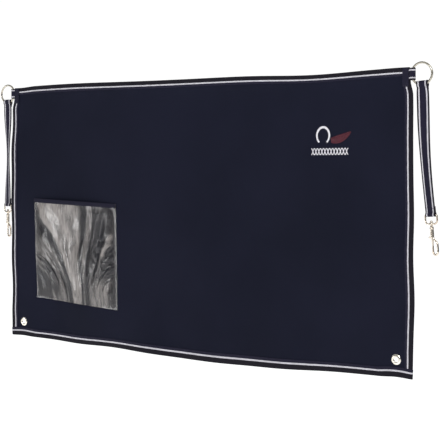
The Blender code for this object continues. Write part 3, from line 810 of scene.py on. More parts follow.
class ThreadRows:
    """Threads set along lines by a node tree: running stitches along the line, or satin stitches across it."""

    def __init__(self, kind: RowKind) -> None:
        """Builds the tree.

        Args:
            kind: How the threads lie.
        """
        self.kind = kind
        tree = bpy.data.node_groups.new(f"{kind.value}_threads", "GeometryNodeTree")
        self.tree = tree
        face = tree.interface
        face.new_socket("Geometry", in_out="OUTPUT", socket_type="NodeSocketGeometry")
        face.new_socket("Lines", in_out="INPUT", socket_type="NodeSocketGeometry")
        sizes = ("Pitch", "Length", "Width", "Height", "Lean")
        for size in sizes:
            face.new_socket(size, in_out="INPUT", socket_type="NodeSocketFloat")
        face.new_socket("Outward", in_out="INPUT", socket_type="NodeSocketVector")
        face.new_socket("Seed", in_out="INPUT", socket_type="NodeSocketInt")
        face.new_socket("Thread", in_out="INPUT", socket_type="NodeSocketMaterial")
        t = TreeBuilder(tree)
        source = t.add("NodeGroupInput").outputs
        lines = t.add("GeometryNodeMeshToCurve", {"Mesh": source["Lines"]})
        even = t.add("GeometryNodeResampleCurve", {"Curve": lines.outputs[0]}, mode="LENGTH")
        t.feed(even.inputs["Length"], source["Pitch"])
        thread = t.add("GeometryNodeMeshUVSphere", {"Segments": 6, "Rings": 5, "Radius": 0.5})
        tangent = t.add("GeometryNodeInputTangent")
        first = t.add("FunctionNodeAlignRotationToVector", {"Vector": tangent.outputs[0]}, axis="X")
        upright = {"Rotation": first.outputs[0], "Vector": source["Outward"]}
        second = t.add("FunctionNodeAlignRotationToVector", upright, axis="Z", pivot_axis="X")
        jitter = {"Min": -0.06, "Max": 0.06, "Seed": source["Seed"]}
        wobble = t.add("FunctionNodeRandomValue", {}, data_type="FLOAT")
        for socket, value in ((wobble.inputs[2], jitter["Min"]), (wobble.inputs[3], jitter["Max"])):
            socket.default_value = value
        t.feed(wobble.inputs["Seed"], source["Seed"])
        turn = t.math("ADD", wobble.outputs[1], source["Lean"])
        spin = t.add("ShaderNodeCombineXYZ", {2: turn})
        euler = t.add("FunctionNodeEulerToRotation", {0: spin.outputs[0]})
        rotate = t.add(
            "FunctionNodeRotateRotation", {0: second.outputs[0], 1: euler.outputs[0]}, rotation_space="LOCAL"
        )
        if kind is RowKind.SATIN:
            band = t.add("GeometryNodeInputNamedAttribute", {"Name": "band"}, data_type="FLOAT")
            scale = t.add(
                "ShaderNodeCombineXYZ", {0: source["Width"], 1: band.outputs[0], 2: source["Height"]}
            )
        else:
            scale = t.add(
                "ShaderNodeCombineXYZ", {0: source["Length"], 1: source["Width"], 2: source["Height"]}
            )
        spots = {"Points": even.outputs[0], "Instance": thread.outputs[0]}
        copies = t.add("GeometryNodeInstanceOnPoints", spots)
        t.feed(copies.inputs["Rotation"], rotate.outputs[0])
        t.feed(copies.inputs["Scale"], scale.outputs[0])
        real = t.add("GeometryNodeRealizeInstances", {0: copies.outputs[0]})
        dressed = t.add(
            "GeometryNodeSetMaterial", {"Geometry": real.outputs[0], "Material": source["Thread"]}
        )
        t.add("NodeGroupOutput", {0: dressed.outputs[0]})

    def lay(
        self,
        name: str,
        lines: Sequence[np.ndarray],
        thread: bpy.types.Material,
        outward: Sequence[float],
        bands: Sequence[np.ndarray] | None = None,
        **sizes: float,
    ) -> bpy.types.Object:
        """Lays threads along lines and turns them into a plain mesh.

        Args:
            name: The piece's name.
            lines: Each line's points, n by 3.
            thread: The threads' finish.
            outward: The direction away from the surface.
            bands: The satin's width at each line's points.
            **sizes: Values of the tree's other inputs, by name.

        Returns:
            The threads as one mesh.
        """
        mesh = bpy.data.meshes.new(name)
        verts, edges = [], []
        for line in lines:
            start = len(verts)
            verts += np.asarray(line, float).tolist()
            edges += [(start + i, start + i + 1) for i in range(len(line) - 1)]
        mesh.from_pydata(verts, edges, [])
        if bands is not None:
            band = mesh.attributes.new("band", "FLOAT", "POINT")
            band.data.foreach_set("value", np.concatenate(bands).astype(np.float32))
        obj = bpy.data.objects.new(name, mesh)
        bpy.context.collection.objects.link(obj)
        modifier = obj.modifiers.new("threads", "NODES")
        modifier.node_group = self.tree
        given = {"Outward": tuple(outward), "Thread": thread, **sizes}
        for item in self.tree.interface.items_tree:
            if item.in_out == "INPUT" and item.name in given:
                modifier[item.identifier] = given[item.name]
        settle(obj)
        obj.data.shade_smooth()
        return obj


# --------------------------------------------------------------------------------------------------
# The sheet and what is sewn to it
# --------------------------------------------------------------------------------------------------


@dataclass
class Hang:
    """How the cloth hangs: slow waves, livelier edges, and flat places where metal grips it."""

    half_width: float
    top: float
    bottom: float
    eyelets: tuple[tuple[float, float], ...]
    slow: float = 0.0052
    edge: float = 0.0042
    hem: float = 0.0045
    lean_back: float = 0.0060
    pucker: float = 0.00045
    corner_inset: float = 0.006
    corner_reach: float = 0.032
    tab_drop: float = 0.0303
    corner_start: float = 0.0215
    corner_width: float = 0.12
    left_bulges: tuple[tuple[float, float, float], ...] = ((0.0065, 0.27, 0.13), (0.0045, 0.66, 0.17))
    right_bulges: tuple[tuple[float, float, float], ...] = ((0.0035, 0.74, 0.24), (0.0015, 0.17, 0.08))

    def draw_in(self, points: np.ndarray) -> np.ndarray:
        """Moves the side edges in at the top corners, where the tabs pull them, on the flat sheet."""
        moved = points.copy()
        x, z = points[:, 0], points[:, 2]
        beside = self.top - self.tab_drop
        up = smoothstep(z, beside - self.corner_reach, beside)
        near = 1.0 - smoothstep(self.half_width - np.abs(x), self.corner_start, self.corner_width)
        moved[:, 0] -= np.sign(x) * self.corner_inset * up * near
        return moved

    def swell(self, side: np.ndarray, fall: np.ndarray) -> np.ndarray:
        """How far each side edge stands out along its length, from the top at 0 to the hem at 1."""
        left, right = (
            sum(size * np.exp(-(((fall - at) / reach) ** 2)) for size, at, reach in bulges)
            for bulges in (self.left_bulges, self.right_bulges)
        )
        return np.where(side < 0, left, right)

    def sag(self, x: np.ndarray, z: np.ndarray) -> np.ndarray:
        """How far the edges drop: the hem bellies down, and the top dips right of its middle.

        Args:
            x: Distances along the flat sheet.
            z: Heights on the flat sheet.

        Returns:
            The drop at each point.
        """
        belly = 0.003 + 0.0155 * np.exp(
            -(((x - 0.10) / 0.30) ** 2)
        ) + 0.006 * np.exp(-(((x + 0.40) / 0.10) ** 2))
        dip = 0.0065 * np.exp(-(((x - 0.36) / 0.14) ** 2)) - 0.0045 * np.exp(-(((x + 0.42) / 0.20) ** 2))
        low = np.exp(-np.maximum(z - self.bottom, 0.0) / 0.06)
        high = np.exp(-np.maximum(self.top - z, 0.0) / 0.08)
        return belly * low + dip * high

    def __call__(self, points: np.ndarray) -> np.ndarray:
        """Moves points of the flat sheet, and of anything on it, to where they hang.

        Args:
            points: Flat points, n by 3.

        Returns:
            The hanging points.
        """
        x, z = points[:, 0], points[:, 2]
        height = self.top - self.bottom
        fall = np.clip((self.top - z) / height, 0.0, 1.0)
        from_side = self.half_width - np.abs(x)
        from_bottom = z - self.bottom
        side = np.sign(x)
        tau = 2 * math.pi
        lift = self.slow * (0.25 + 0.75 * fall) * np.sin(tau * (x / 0.74 + 0.28 * z) + 0.7)
        lift += 0.55 * self.slow * fall * np.sin(tau * (x / 0.33 - 0.5 * z) + 2.1)
        lift += 0.35 * self.slow * np.sin(tau * (x / 0.52 + z / 0.47) + 4.0) * fall
        wave = np.sin(tau * z / 0.31 + 1.3 * side + 0.4) + 0.5 * np.sin(tau * z / 0.17 + 2.2 * side)
        lift += self.edge * 0.7 * wave * np.exp(-np.maximum(from_side, 0.0) / 0.07)
        ripple = np.sin(tau * x / 0.39 + 0.9) + 0.5 * np.sin(tau * x / 0.21 + 2.4)
        lift += self.hem * ripple * np.exp(-np.maximum(from_bottom, 0.0) / 0.07)
        lift += 0.0022 * np.sin(tau * x / 0.45 + 1.1) * np.exp(-np.maximum(self.top - z, 0.0) / 0.06)
        under = np.maximum(self.top - z - TAPE_WIDTH, 0.0) / 0.045
        lift += self.lean_back * under * np.exp(1.0 - under) * (0.7 + 0.3 * np.sin(tau * x / 0.9 + 0.6))
        seam = np.exp(-(((from_side - TAPE_WIDTH) / 0.010) ** 2)) * np.sin(tau * z / 0.023)
        seam += np.exp(-(((from_bottom - TAPE_WIDTH) / 0.010) ** 2)) * np.sin(tau * x / 0.026)
        seam += np.exp(-(((self.top - z - TAPE_WIDTH) / 0.010) ** 2)) * np.sin(tau * x / 0.021)
        lift += self.pucker * seam

        hold = np.ones_like(x)
        for ex, ez in self.eyelets:
            hold *= smoothstep(np.hypot(x - ex, z - ez), 0.0135, 0.055)
        held = hold
        corner = np.hypot(np.maximum(from_side, 0.0), np.maximum(self.top - z, 0.0))
        hold = hold * smoothstep(corner, 0.045, 0.14)
        moved = points.copy()
        moved[:, 1] += lift * hold
        out = side * self.swell(side, fall) + 0.0008 * np.sin(tau * z / 0.27 + side)
        moved[:, 0] += out * np.exp(-np.maximum(from_side, 0.0) / 0.05) * held
        moved[:, 1] += 1.2 * side * self.swell(side, fall) * np.exp(-np.maximum(from_side, 0.0) / 0.09) * held
        moved[:, 2] -= self.sag(x, z) * held * smoothstep(corner, 0.028, 0.085)
        return moved


@dataclass
class Sheet:
    """The navy cloth with its two eyelet holes."""

    finishes: Finishes
    hang: Hang
    spacing: float = 0.0065
    hole: float = 0.0069
    fine: tuple[float, ...] = (0.0012, 0.0036, 0.0060, 0.0084, 0.0110)

    def lines(self, low: float, high: float, centres: Sequence[float]) -> np.ndarray:
        """Grid lines, closer together round the eyelets."""
        coarse = np.linspace(low, high, round((high - low) / self.spacing) + 1)
        for centre in centres:
            coarse = coarse[np.abs(coarse - centre) > self.fine[-1] + 0.002]
        near = [centre + sign * step for centre in centres for step in self.fine for sign in (-1, 1)]
        return np.sort(np.concatenate([coarse, near]))

    def build(self) -> bpy.types.Object:
        """Returns the cloth as one closed sheet."""
        low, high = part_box("panel_sheet")
        xs = self.lines(low.x, high.x, [e[0] for e in self.hang.eyelets])
        zs = self.lines(low.z, high.z, [self.hang.eyelets[0][1]])
        gx, gz = np.meshgrid(xs, zs)
        flat = np.stack([gx.ravel(), np.zeros(gx.size), gz.ravel()], 1)
        quads = np.array(grid_quads(len(zs), len(xs)))
        cut = np.zeros(len(quads), bool)
        for ex, ez in self.hang.eyelets:
            centre = flat[quads].mean(1)
            gone = np.hypot(centre[:, 0] - ex, centre[:, 2] - ez) < self.hole
            rim = np.intersect1d(quads[gone], quads[~gone])
            out = flat[rim] - (ex, 0.0, ez)
            out *= self.hole / np.linalg.norm(out, axis=1)[:, None]
            flat[rim] = out + (ex, 0.0, ez)
            cut |= gone
        kept, faces, _ = compact(flat, quads[~cut])
        off = np.array([0.0, CLOTH_HALF, 0.0])
        verts, faces = shell(kept - off, kept + off, faces)
        return mesh_object("cloth_sheet", self.hang(self.hang.draw_in(verts)), faces, self.finishes.cloth)


@dataclass
class Bindings:
    """The folded tapes on the four edges and the patches over the top corners."""

    finishes: Finishes
    hang: Hang
    inner_half: float = CLOTH_HALF + GAP
    step: float = 0.006

    def section(
        self, leg: float, inner_half: float, fine: float = 0.0021
    ) -> tuple[list[tuple[float, float]], np.ndarray]:
        """A folded tape's section, softly padded between fold and seam.

        Args:
            leg: How far the tape reaches down each face.
            inner_half: Half the space inside.
            fine: Spacing of points down a leg.

        Returns:
            (across, down) points and each point's distance from the fold.
        """
        outer_half = inner_half + TAPE_THICKNESS
        downs = np.linspace(leg, FOLD_DEPTH, round((leg - FOLD_DEPTH) / fine) + 1)
        crown = [0.00028 * math.sin(math.pi * (leg - d) / (leg - FOLD_DEPTH)) ** 0.6 if leg > d > FOLD_DEPTH else 0.0 for d in downs]
        left = [(-outer_half - c, d) for d, c in zip(downs, crown)]
        fold = [(-outer_half * math.cos(a), FOLD_DEPTH * (1 - math.sin(a))) for a in np.linspace(0, math.pi, 11)[1:-1]]
        outer = [*left, *fold, *[(-u, v) for u, v in reversed(left)]]
        inner_fold = [(inner_half * math.cos(a), FOLD_DEPTH - (FOLD_DEPTH - TAPE_THICKNESS) * math.sin(a)) for a in np.linspace(0, math.pi, 7)]
        inner = [(inner_half, leg), *inner_fold, (-inner_half, leg)]
        spread = [
            *(d for d in downs), *np.linspace(FOLD_DEPTH, -FOLD_DEPTH, 11)[1:-1], *(-d for d in downs[::-1])
        ]
        spread += [-leg, *np.linspace(-FOLD_DEPTH, FOLD_DEPTH, 7), leg]
        return [*outer, *inner], np.array(spread)

    def tape(
        self, name: str, ends: tuple[tuple[float, float], tuple[float, float]], leg: float, inner_half: float,
        material: bpy.types.Material,
    ) -> bpy.types.Object:
        """One straight tape, then hung with the cloth.

        Args:
            name: The piece's name.
            ends: (x, z) of its outer line's two ends.
            leg: How far it reaches down each face.
            inner_half: Half the space inside.
            material: Its finish.

        Returns:
            The tape.
        """
        (x0, z0), (x1, z1) = ends
        length = math.hypot(x1 - x0, z1 - z0)
        share = np.linspace(0.0, 1.0, max(round(length / self.step), 3) + 1)
        path = np.stack([x0 + (x1 - x0) * share, 0 * share, z0 + (z1 - z0) * share], 1)
        section, spread = self.section(leg, inner_half)
        verts, faces, along = sweep(section, path, (0, 1, 0))
        uv = np.stack([along, np.tile(spread, len(path))], 1)
        if x0 == x1:
            verts = self.hang.draw_in(verts)
        return mesh_object(name, self.hang(verts), faces, material, uv)

    def build(self) -> list[bpy.types.Object]:
        """Returns the four tapes and the two patches."""
        low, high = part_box("binding_top")
        made = [self.tape("edge_tape_top", ((low.x, high.z), (high.x, high.z)), TAPE_WIDTH, self.inner_half, self.finishes.tape)]
        low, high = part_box("binding_bottom")
        made.append(self.tape("edge_tape_bottom", ((high.x, low.z), (low.x, low.z)), TAPE_WIDTH, self.inner_half, self.finishes.tape))
        low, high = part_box("binding_left")
        made.append(self.tape("edge_tape_left", ((low.x, low.z), (low.x, high.z)), TAPE_WIDTH, self.inner_half, self.finishes.tape))
        low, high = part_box("binding_right")
        made.append(self.tape("edge_tape_right", ((high.x, high.z), (high.x, low.z)), TAPE_WIDTH, self.inner_half, self.finishes.tape))
        for side in Side:
            low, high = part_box(f"corner_patch_{side.word}")
            half = high.y - TAPE_THICKNESS
            ends = ((low.x, high.z), (high.x, high.z))
            made.append(self.tape(f"corner_patch_cover_{side.word}", ends, high.z - low.z, half, self.finishes.plain_tape))
        return made


@dataclass
class Seams:
    """The rows of stitches on the drape's body."""

    finishes: Finishes
    hang: Hang
    rows: ThreadRows
    inset: float = 0.0022
    pitch: float = 0.0042

    def line(
        self, a: tuple[float, float], b: tuple[float, float], y: float, step: float = 0.01
    ) -> np.ndarray:
        """A straight row at one depth, from (x, z) to (x, z)."""
        length = math.hypot(b[0] - a[0], b[1] - a[1])
        t = np.linspace(0.0, 1.0, max(int(length / step), 1) + 1)
        return np.stack([a[0] + (b[0] - a[0]) * t, np.full_like(t, y), a[1] + (b[1] - a[1]) * t], 1)

    def around(self) -> list[tuple[tuple[float, float], tuple[float, float]]]:
        """The rows along the four bindings, a little in from the tape's edge."""
        low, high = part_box("binding_bottom")
        bottom, top = low.z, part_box("binding_top")[1].z
        side, leg = high.x, TAPE_WIDTH - self.inset
        inner_x = side - leg
        top_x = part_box("binding_top")[1].x
        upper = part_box("binding_left")[1].z
        return [
            ((-top_x, top - leg), (top_x, top - leg)),
            ((-side + 0.001, bottom + leg), (side - 0.001, bottom + leg)),
            ((-inner_x, bottom + TAPE_WIDTH), (-inner_x, upper)),
            ((inner_x, bottom + TAPE_WIDTH), (inner_x, upper)),
        ]

    def patches(self) -> list[tuple[tuple[float, float], tuple[float, float]]]:
        """The upright rows that hold the corner patches and the tabs under them."""
        found = []
        for side in Side:
            low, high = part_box(f"corner_patch_{side.word}")
            count = 5
            for i in range(count):
                x = low.x + 0.0025 + (high.x - low.x - 0.005) * i / (count - 1)
                found.append(((x, low.z + 0.002), (x, high.z - 0.004)))
            found.append(((low.x + 0.0025, low.z + 0.002), (high.x - 0.0025, low.z + 0.002)))
        return found

    def build(self) -> list[bpy.types.Object]:
        """Returns the stitches of the front and of the back."""
        made = []
        tape_face = CLOTH_HALF + GAP + TAPE_THICKNESS + 0.00004
        patch_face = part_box("corner_patch_left")[1].y + 0.00006
        for name, sign in (("front", -1), ("back", 1)):
            rows = [self.line(a, b, sign * tape_face) for a, b in self.around()]
            rows[2:] = [self.hang.draw_in(row) for row in rows[2:]]
            rows += [self.line(a, b, sign * patch_face) for a, b in self.patches()]
            sizes = {
                "Pitch": self.pitch,
                "Length": 0.0034,
                "Width": 0.00062,
                "Height": 0.00046,
                "Lean": 0.03,
                "Seed": 3
            }
            obj = self.rows.lay(
                f"seam_stitches_{name}", rows, self.finishes.seam_thread, (0, sign, 0), **sizes
            )
            made.append(reshape(obj, self.hang))
        return made


@dataclass
class Tab:
    """The webbing that holds a ring, folded round it and sewn to the cloth under the corner patch."""

    finishes: Finishes
    side: Side
    loop_far: float
    ring_x: float
    pocket_half: float = 0.0043
    flare: float = 0.0065
    tail: float = 0.013
    rounding: float = 0.0007

    def route(self) -> np.ndarray:
        """The webbing's middle line seen from above."""
        low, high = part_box(f"corner_patch_{self.side.word}")
        outer = max(abs(low.x), abs(high.x)) + GAP
        flat_y = CLOTH_HALF + GAP + WEB_THICKNESS / 2
        pocket_y = self.pocket_half + WEB_THICKNESS / 2
        bend_x = self.ring_x - self.loop_far - self.pocket_half
        t = np.linspace(0.0, 1.0, 13)
        ramp = np.stack(
            [outer + self.flare * t, flat_y + (pocket_y - flat_y) * (1 - np.cos(math.pi * t)) / 2], 1
        )
        bend = np.array(arc((bend_x, 0.0), pocket_y, math.pi / 2, -math.pi / 2, 32))
        half = np.vstack([[(outer - self.tail, flat_y)], [(outer - self.tail / 2, flat_y)], ramp])
        route = np.vstack([half, bend, half[::-1] * (1, -1)])
        return np.stack([route[:, 0] * self.side.value, route[:, 1], np.zeros(len(route))], 1)

    def build(self) -> bpy.types.Object:
        """Returns the tab."""
        section, spread = web_section(self.rounding)
        verts, faces, along = sweep(section, self.route(), (0, 0, 1))
        verts[:, 2] += middle(f"ring_tab_{self.side.word}").z
        count = len(verts) // len(section)
        uv = np.stack([along, np.tile(spread, count)], 1)
        return mesh_object(f"ring_tab_webbing_{self.side.word}", verts, faces, self.finishes.webbing, uv)


def web_section(rounding: float, columns: int = 14) -> tuple[list[tuple[float, float]], np.ndarray]:
    """Flat webbing's section, rounded at its edges.

    Args:
        rounding: Radius of the edges.
        columns: Divisions of its width.

    Returns:
        (across, through) points and the distance from the middle line of each.
    """
    half, thick = WEB_WIDTH / 2, WEB_THICKNESS / 2
    xs = np.linspace(-half + rounding, half - rounding, columns + 1)
    right = arc((half - rounding, 0.0), rounding, -math.pi / 2, math.pi / 2, 6)[1:-1]
    right = [(u, v * thick / rounding) for u, v in right]
    section = [(x, -thick) for x in xs] + right + [
        (x, thick) for x in xs[::-1]
    ] + [(-u, -v) for u, v in right]
    return section, np.array([u for u, _ in section])


@dataclass
class Pocket:
    """The clear document pocket: film sewn down on three sides, its rim bound with tape and standing a little open."""

    finishes: Finishes
    hang: Hang
    rows: ThreadRows
    width: float = 0.300
    height: float = 0.278
    tilt: float = math.radians(2.8)
    top_tilt: float = math.radians(2.1)
    lean: float = 0.024
    aside: float = 0.0022
    depth: float = 0.0078
    seam: float = 0.008
    film_half: float = 0.0003
    tape_width: float = 0.012
    spacing: float = 0.0024

    def centre(self) -> Vector:
        """The pocket's centre on the sheet."""
        found = middle("pocket_window")
        return Vector((found.x, 0.0, found.z))

    def stand(self, x: np.ndarray, z: np.ndarray) -> np.ndarray:
        """How far the film's middle stands in front of the cloth, at points from the pocket's centre."""
        half, tall = self.width / 2, self.height / 2
        from_edge = np.minimum(half - np.abs(x), z + tall)
        rise = smoothstep(from_edge, self.seam * 0.7, self.seam + 0.034)
        up = np.clip((z + tall) / self.height, 0.0, 1.0)
        gape = 0.22 + 0.78 * smoothstep(up, 0.55, 1.0) * np.exp(-((x / 0.10) ** 2)) + 0.12 * up
        base = CLOTH_HALF + GAP + self.film_half
        return base + (self.depth - 0.0012) * rise * np.minimum(gape, 1.0)

    def fan(self, x: np.ndarray, z: np.ndarray) -> np.ndarray:
        """Place across the creases, which gather low in the middle and spread upwards."""
        return (x - 0.012 + 0.06 * z) / (0.036 + 0.104 * smoothstep(z, -0.10, 0.135))

    def crease(self, x: np.ndarray, z: np.ndarray) -> np.ndarray:
        """Height of the creases: wide facets with sharp crests that fan out, and a few crumples, about -1 to 1."""
        fan = self.fan(x, z)
        total = np.zeros_like(x)
        for i in range(len(x)):
            bend = noise.noise(Vector((x[i] * 9, z[i] * 8, 1.7)))
            broad = noise.noise(Vector((fan[i] * 0.9 + 0.7 * bend, z[i] * 4.5, 4.2)))
            sharp = 1.0 - 3.0 * abs(noise.noise(Vector((fan[i] * 1.35 + 0.9 * bend, z[i] * 6.5, 9.1))))
            thin = 1.0 - 4.2 * abs(noise.noise(Vector((fan[i] * 2.9 + 1.3 * bend, z[i] * 11.0, 5.3))))
            small = 1.0 - 3.6 * abs(noise.noise(Vector((x[i] * 34 + 3 * bend, z[i] * 26 + 4 * bend, 2.4))))
            right = min(max((x[i] - 0.03) / 0.05, 0.0), 1.0)
            total[i] = 1.1 * broad + 0.75 * sharp + 0.30 * thin + (0.10 + 0.22 * right) * small
        return total * 0.55

    def haze(self, x: np.ndarray, z: np.ndarray) -> np.ndarray:
        """Painted reflection streaks on the film: most in a wedge from the upper left to low in the middle."""
        fan = self.fan(x, z)
        wander = np.array([noise.noise(Vector((a * 16, b * 10, 7.7))) for a, b in zip(x, z)])
        grain = np.array([noise.noise(Vector((f * 4.0, b * 16, 3.1))) for f, b in zip(fan, z)])
        at = fan + 0.30 * wander
        wedge = smoothstep(at, -1.05, -0.90) * (1.0 - smoothstep(at, -0.16, -0.02))
        branch = smoothstep(at, 0.10, 0.17) * (1.0 - smoothstep(at, 0.34, 0.46))
        outer = smoothstep(at, -2.4, -1.9) * (
            1.0 - smoothstep(at, -1.45, -1.20)
        ) * (1.0 - smoothstep(z, 0.0, 0.06))
        low = smoothstep(at, 0.7, 1.1) * (
            1.0 - smoothstep(z, -0.09, -0.05)
        ) * (1.0 - smoothstep(at, 2.6, 3.2))
        share = 0.78 * wedge + 0.52 * branch + 0.42 * outer + 0.50 * low + 0.10
        return np.clip(share * (1.0 + 0.55 * grain) + 0.12 * wander, 0.0, 1.0)

    def surface(self, x: np.ndarray, z: np.ndarray) -> np.ndarray:
        """The film's middle surface: points from the pocket's centre."""
        half, tall = self.width / 2, self.height / 2
        from_edge = np.minimum(half - np.abs(x), z + tall)
        loose = smoothstep(from_edge, self.seam * 0.8, self.seam + 0.016)
        rim = 1.0 - 0.8 * smoothstep(z, tall - 0.03, tall - 0.012)
        base = CLOTH_HALF + GAP + self.film_half
        under_tape = smoothstep(z, tall - self.tape_width - 0.008, tall - self.tape_width)
        base = base + (TAPE_THICKNESS + GAP) * under_tape
        stand = self.stand(x, z) + loose * rim * 0.0030 * (self.crease(x, z) + 0.35)
        stand = np.clip(stand, base, self.depth + CLOTH_HALF)
        return np.stack([x, -stand, z], 1)

    def turned(self, points: np.ndarray) -> np.ndarray:
        """Points from the pocket's centre, sewn askew and put on the hanging sheet."""
        x, y, z = points.T
        at = self.centre()
        slope = np.interp(
            z, (-self.height / 2, self.height / 2), (math.tan(self.tilt), math.tan(self.top_tilt))
        )
        return self.hang(np.stack([at.x - self.aside + x - z * self.lean, y, at.z + z - x * slope], 1))

    def film(self) -> bpy.types.Object:
        """The creased film as one closed sheet, with its creases and its painted reflection streaks kept for the
        finish.
        """
        xs = np.linspace(-self.width / 2, self.width / 2, round(self.width / self.spacing) + 1)
        zs = np.linspace(-self.height / 2, self.height / 2, round(self.height / self.spacing) + 1)
        gx, gz = np.meshgrid(xs, zs)
        gx, gz = gx.ravel(), gz.ravel()
        skin = self.surface(gx, gz)
        off = np.array([0.0, self.film_half, 0.0])
        verts, faces = shell(skin - off, skin + off, grid_quads(len(zs), len(xs)))
        film = mesh_object("pocket_film", self.turned(verts), faces, self.finishes.film)
        # The crease heights also place the painted crest highlights and the painted valley shade in the finish.
        fold = film.data.attributes.new("crease", "FLOAT", "POINT")
        height = np.clip(0.5 + 0.5 * self.crease(gx, gz), 0.0, 1.0)
        fold.data.foreach_set("value", np.tile(height, 2).astype(np.float32))
        # Painted reflection: the share of painted light streaks, kept for the film's finish.
        white = film.data.attributes.new("haze", "FLOAT", "POINT")
        white.data.foreach_set("value", np.tile(self.haze(gx, gz), 2).astype(np.float32))
        return film

    def rim_tape(self) -> bpy.types.Object:
        """The tape folded over the film's rim."""
        half = self.width / 2 - 0.0015
        x = np.linspace(-half, half, 100)
        tall = self.height / 2
        rim = self.surface(x, np.full_like(x, tall))
        rim[:, 1] = np.minimum(rim[:, 1], -(CLOTH_HALF + GAP * 2 + TAPE_THICKNESS + self.film_half))
        rim[:, 2] = tall + FOLD_DEPTH + GAP
        bindings = Bindings(self.finishes, self.hang)
        section, spread = bindings.section(self.tape_width, self.film_half + GAP)
        flipped = [(v, u) for u, v in section]
        verts, faces, along = sweep(flipped, rim, (0, 0, -1))
        uv = np.stack([along, np.tile(spread, len(rim))], 1)
        return mesh_object("pocket_rim_tape", self.turned(verts), faces, self.finishes.plain_tape, uv)

    def stitches(self) -> bpy.types.Object:
        """The rows that sew the film down, and the row along the rim's tape."""
        half, tall, inset = self.width / 2, self.height / 2, 0.0035
        left = np.array([(-half + inset, z) for z in np.linspace(tall - 0.001, -tall + inset, 60)])
        low = np.array([(x, -tall + inset) for x in np.linspace(-half + inset, half - inset, 60)])
        right = np.array([(half - inset, z) for z in np.linspace(-tall + inset, tall - 0.001, 60)])
        outline = np.vstack([left, low[1:], right[1:]])
        face = CLOTH_HALF + GAP + 2 * self.film_half + 0.00008
        row = np.stack([outline[:, 0], np.full(len(outline), -face), outline[:, 1]], 1)
        x = np.linspace(-half + self.seam + 0.006, half - self.seam - 0.006, 90)
        seam = self.surface(x, np.full_like(x, tall - 0.001))
        seam[:, 1] = np.minimum(seam[:, 1], -(CLOTH_HALF + GAP * 2 + TAPE_THICKNESS + self.film_half))
        seam[:, 1] -= self.film_half + GAP + TAPE_THICKNESS + 0.0001
        seam[:, 2] = tall + FOLD_DEPTH - self.tape_width + 0.002
        sizes = {
            "Pitch": 0.0040, "Length": 0.0031, "Width": 0.0006, "Height": 0.00042, "Lean": 0.03, "Seed": 5
        }
        obj = self.rows.lay("pocket_stitches", [row, seam], self.finishes.seam_thread, (0, -1, 0), **sizes)
        return reshape(obj, self.turned)


@dataclass
class Motif:
    """The embroidery: a plain horseshoe with a dark red flash beside it and a braid below, in satin stitch."""

    finishes: Finishes
    hang: Hang
    satin: ThreadRows
    shoe_width: float = 0.034
    shoe_height: float = 0.040
    shoe_band: float = 0.0065
    opening: float = math.radians(38.0)
    from_middle: float = 0.0184
    rise: float = 0.0128
    flash_length: float = 0.052
    width: float = 0.100
    drop: float = 0.0255
    braid_band: float = 0.0026
    braid_height: float = 0.0150
    waves: int = 6
    pitch: float = 0.00042
    thread: float = 0.00052

    def centre(self) -> Vector:
        """The motif's centre, found from the braid below it."""
        braid = middle("motif_braid")
        return Vector((braid.x, 0.0, braid.z + self.drop))

    def shoe(self) -> tuple[np.ndarray, np.ndarray]:
        """The horseshoe's middle line and its band, a little wider at the toe."""
        a = np.linspace(-math.pi / 2 + self.opening, 1.5 * math.pi - self.opening, 60)
        x = -self.from_middle + self.shoe_width / 2 * np.cos(a)
        z = self.rise + self.shoe_height / 2 * np.sin(a)
        band = self.shoe_band * (0.88 + 0.12 * np.sin(a))
        return np.stack([x, 0 * x, z], 1), band

    def flash(self) -> tuple[np.ndarray, np.ndarray]:
        """The flash's middle line and its width along it."""
        start = -self.from_middle + (self.shoe_width + self.shoe_band) / 2 + 0.002
        t = np.linspace(0.0, 1.0, 60)
        x = start + self.flash_length * t
        z = self.rise - 0.0115 + 0.0190 * t**2.2
        band = 0.003 + 0.0195 * np.sin(math.pi * (0.16 + 0.84 * t)) ** 0.8
        return np.stack([x, 0 * x, z], 1), band

    def braid(self, phase: int) -> tuple[np.ndarray, np.ndarray]:
        """One strand of the crossed braid: its middle line and band."""
        i = np.linspace(0.0, 2 * self.waves, 16 * self.waves + 1)
        swing = np.cos(math.pi * (i + phase))
        x = self.width * (i / (2 * self.waves) - 0.5)
        z = -self.drop + self.braid_height / 2 * swing
        return np.stack([x, 0 * x, z], 1), np.full(len(i), self.braid_band)

    def padding(
        self, name: str, line: np.ndarray, band: np.ndarray, material: bpy.types.Material
    ) -> bpy.types.Object:
        """The thin pad under a satin band."""
        half = 0.42
        section = [(-0.5, -half), (-0.5, half), (0.2, half * 0.9), (0.5, 0.0), (0.2, -half * 0.9)]
        verts, faces, _ = sweep([(u, v) for u, v in section], line, (0, 1, 0), radii=band)
        spread = verts[:, 1] / np.repeat(band, len(section))
        verts[:, 1] = -(CLOTH_HALF + GAP) - (0.5 - spread) * 0.0004
        return mesh_object(name, verts, faces, material)

    def build(self) -> list[bpy.types.Object]:
        """Returns the three pieces of embroidery."""
        made = []
        designs = (
            ("embroidered_horseshoe", [self.shoe()], self.finishes.white_thread, 0.10),
            ("embroidered_flash", [self.flash()], self.finishes.red_thread, 0.35),
            ("embroidered_braid", [self.braid(0), self.braid(1)], self.finishes.white_thread, 0.0),
        )
        at = self.centre()
        for name, strands, thread, lean in designs:
            parts = []
            for level, (line, band) in enumerate(strands):
                raised = line + (0.0, -(CLOTH_HALF + GAP + 0.00042) - 0.0002 * level, 0.0)
                sizes = {
                    "Pitch": self.pitch, "Width": self.thread, "Height": 0.00042, "Lean": lean, "Seed": 11
                }
                parts.append(self.padding(name, line, band, thread))
                parts.append(self.satin.lay(f"{name}_threads", [raised], thread, (0, -1, 0), [band], **sizes))
            piece = join(name, parts)
            place(piece, Matrix.Translation(at))
            made.append(reshape(piece, self.hang))
        return made


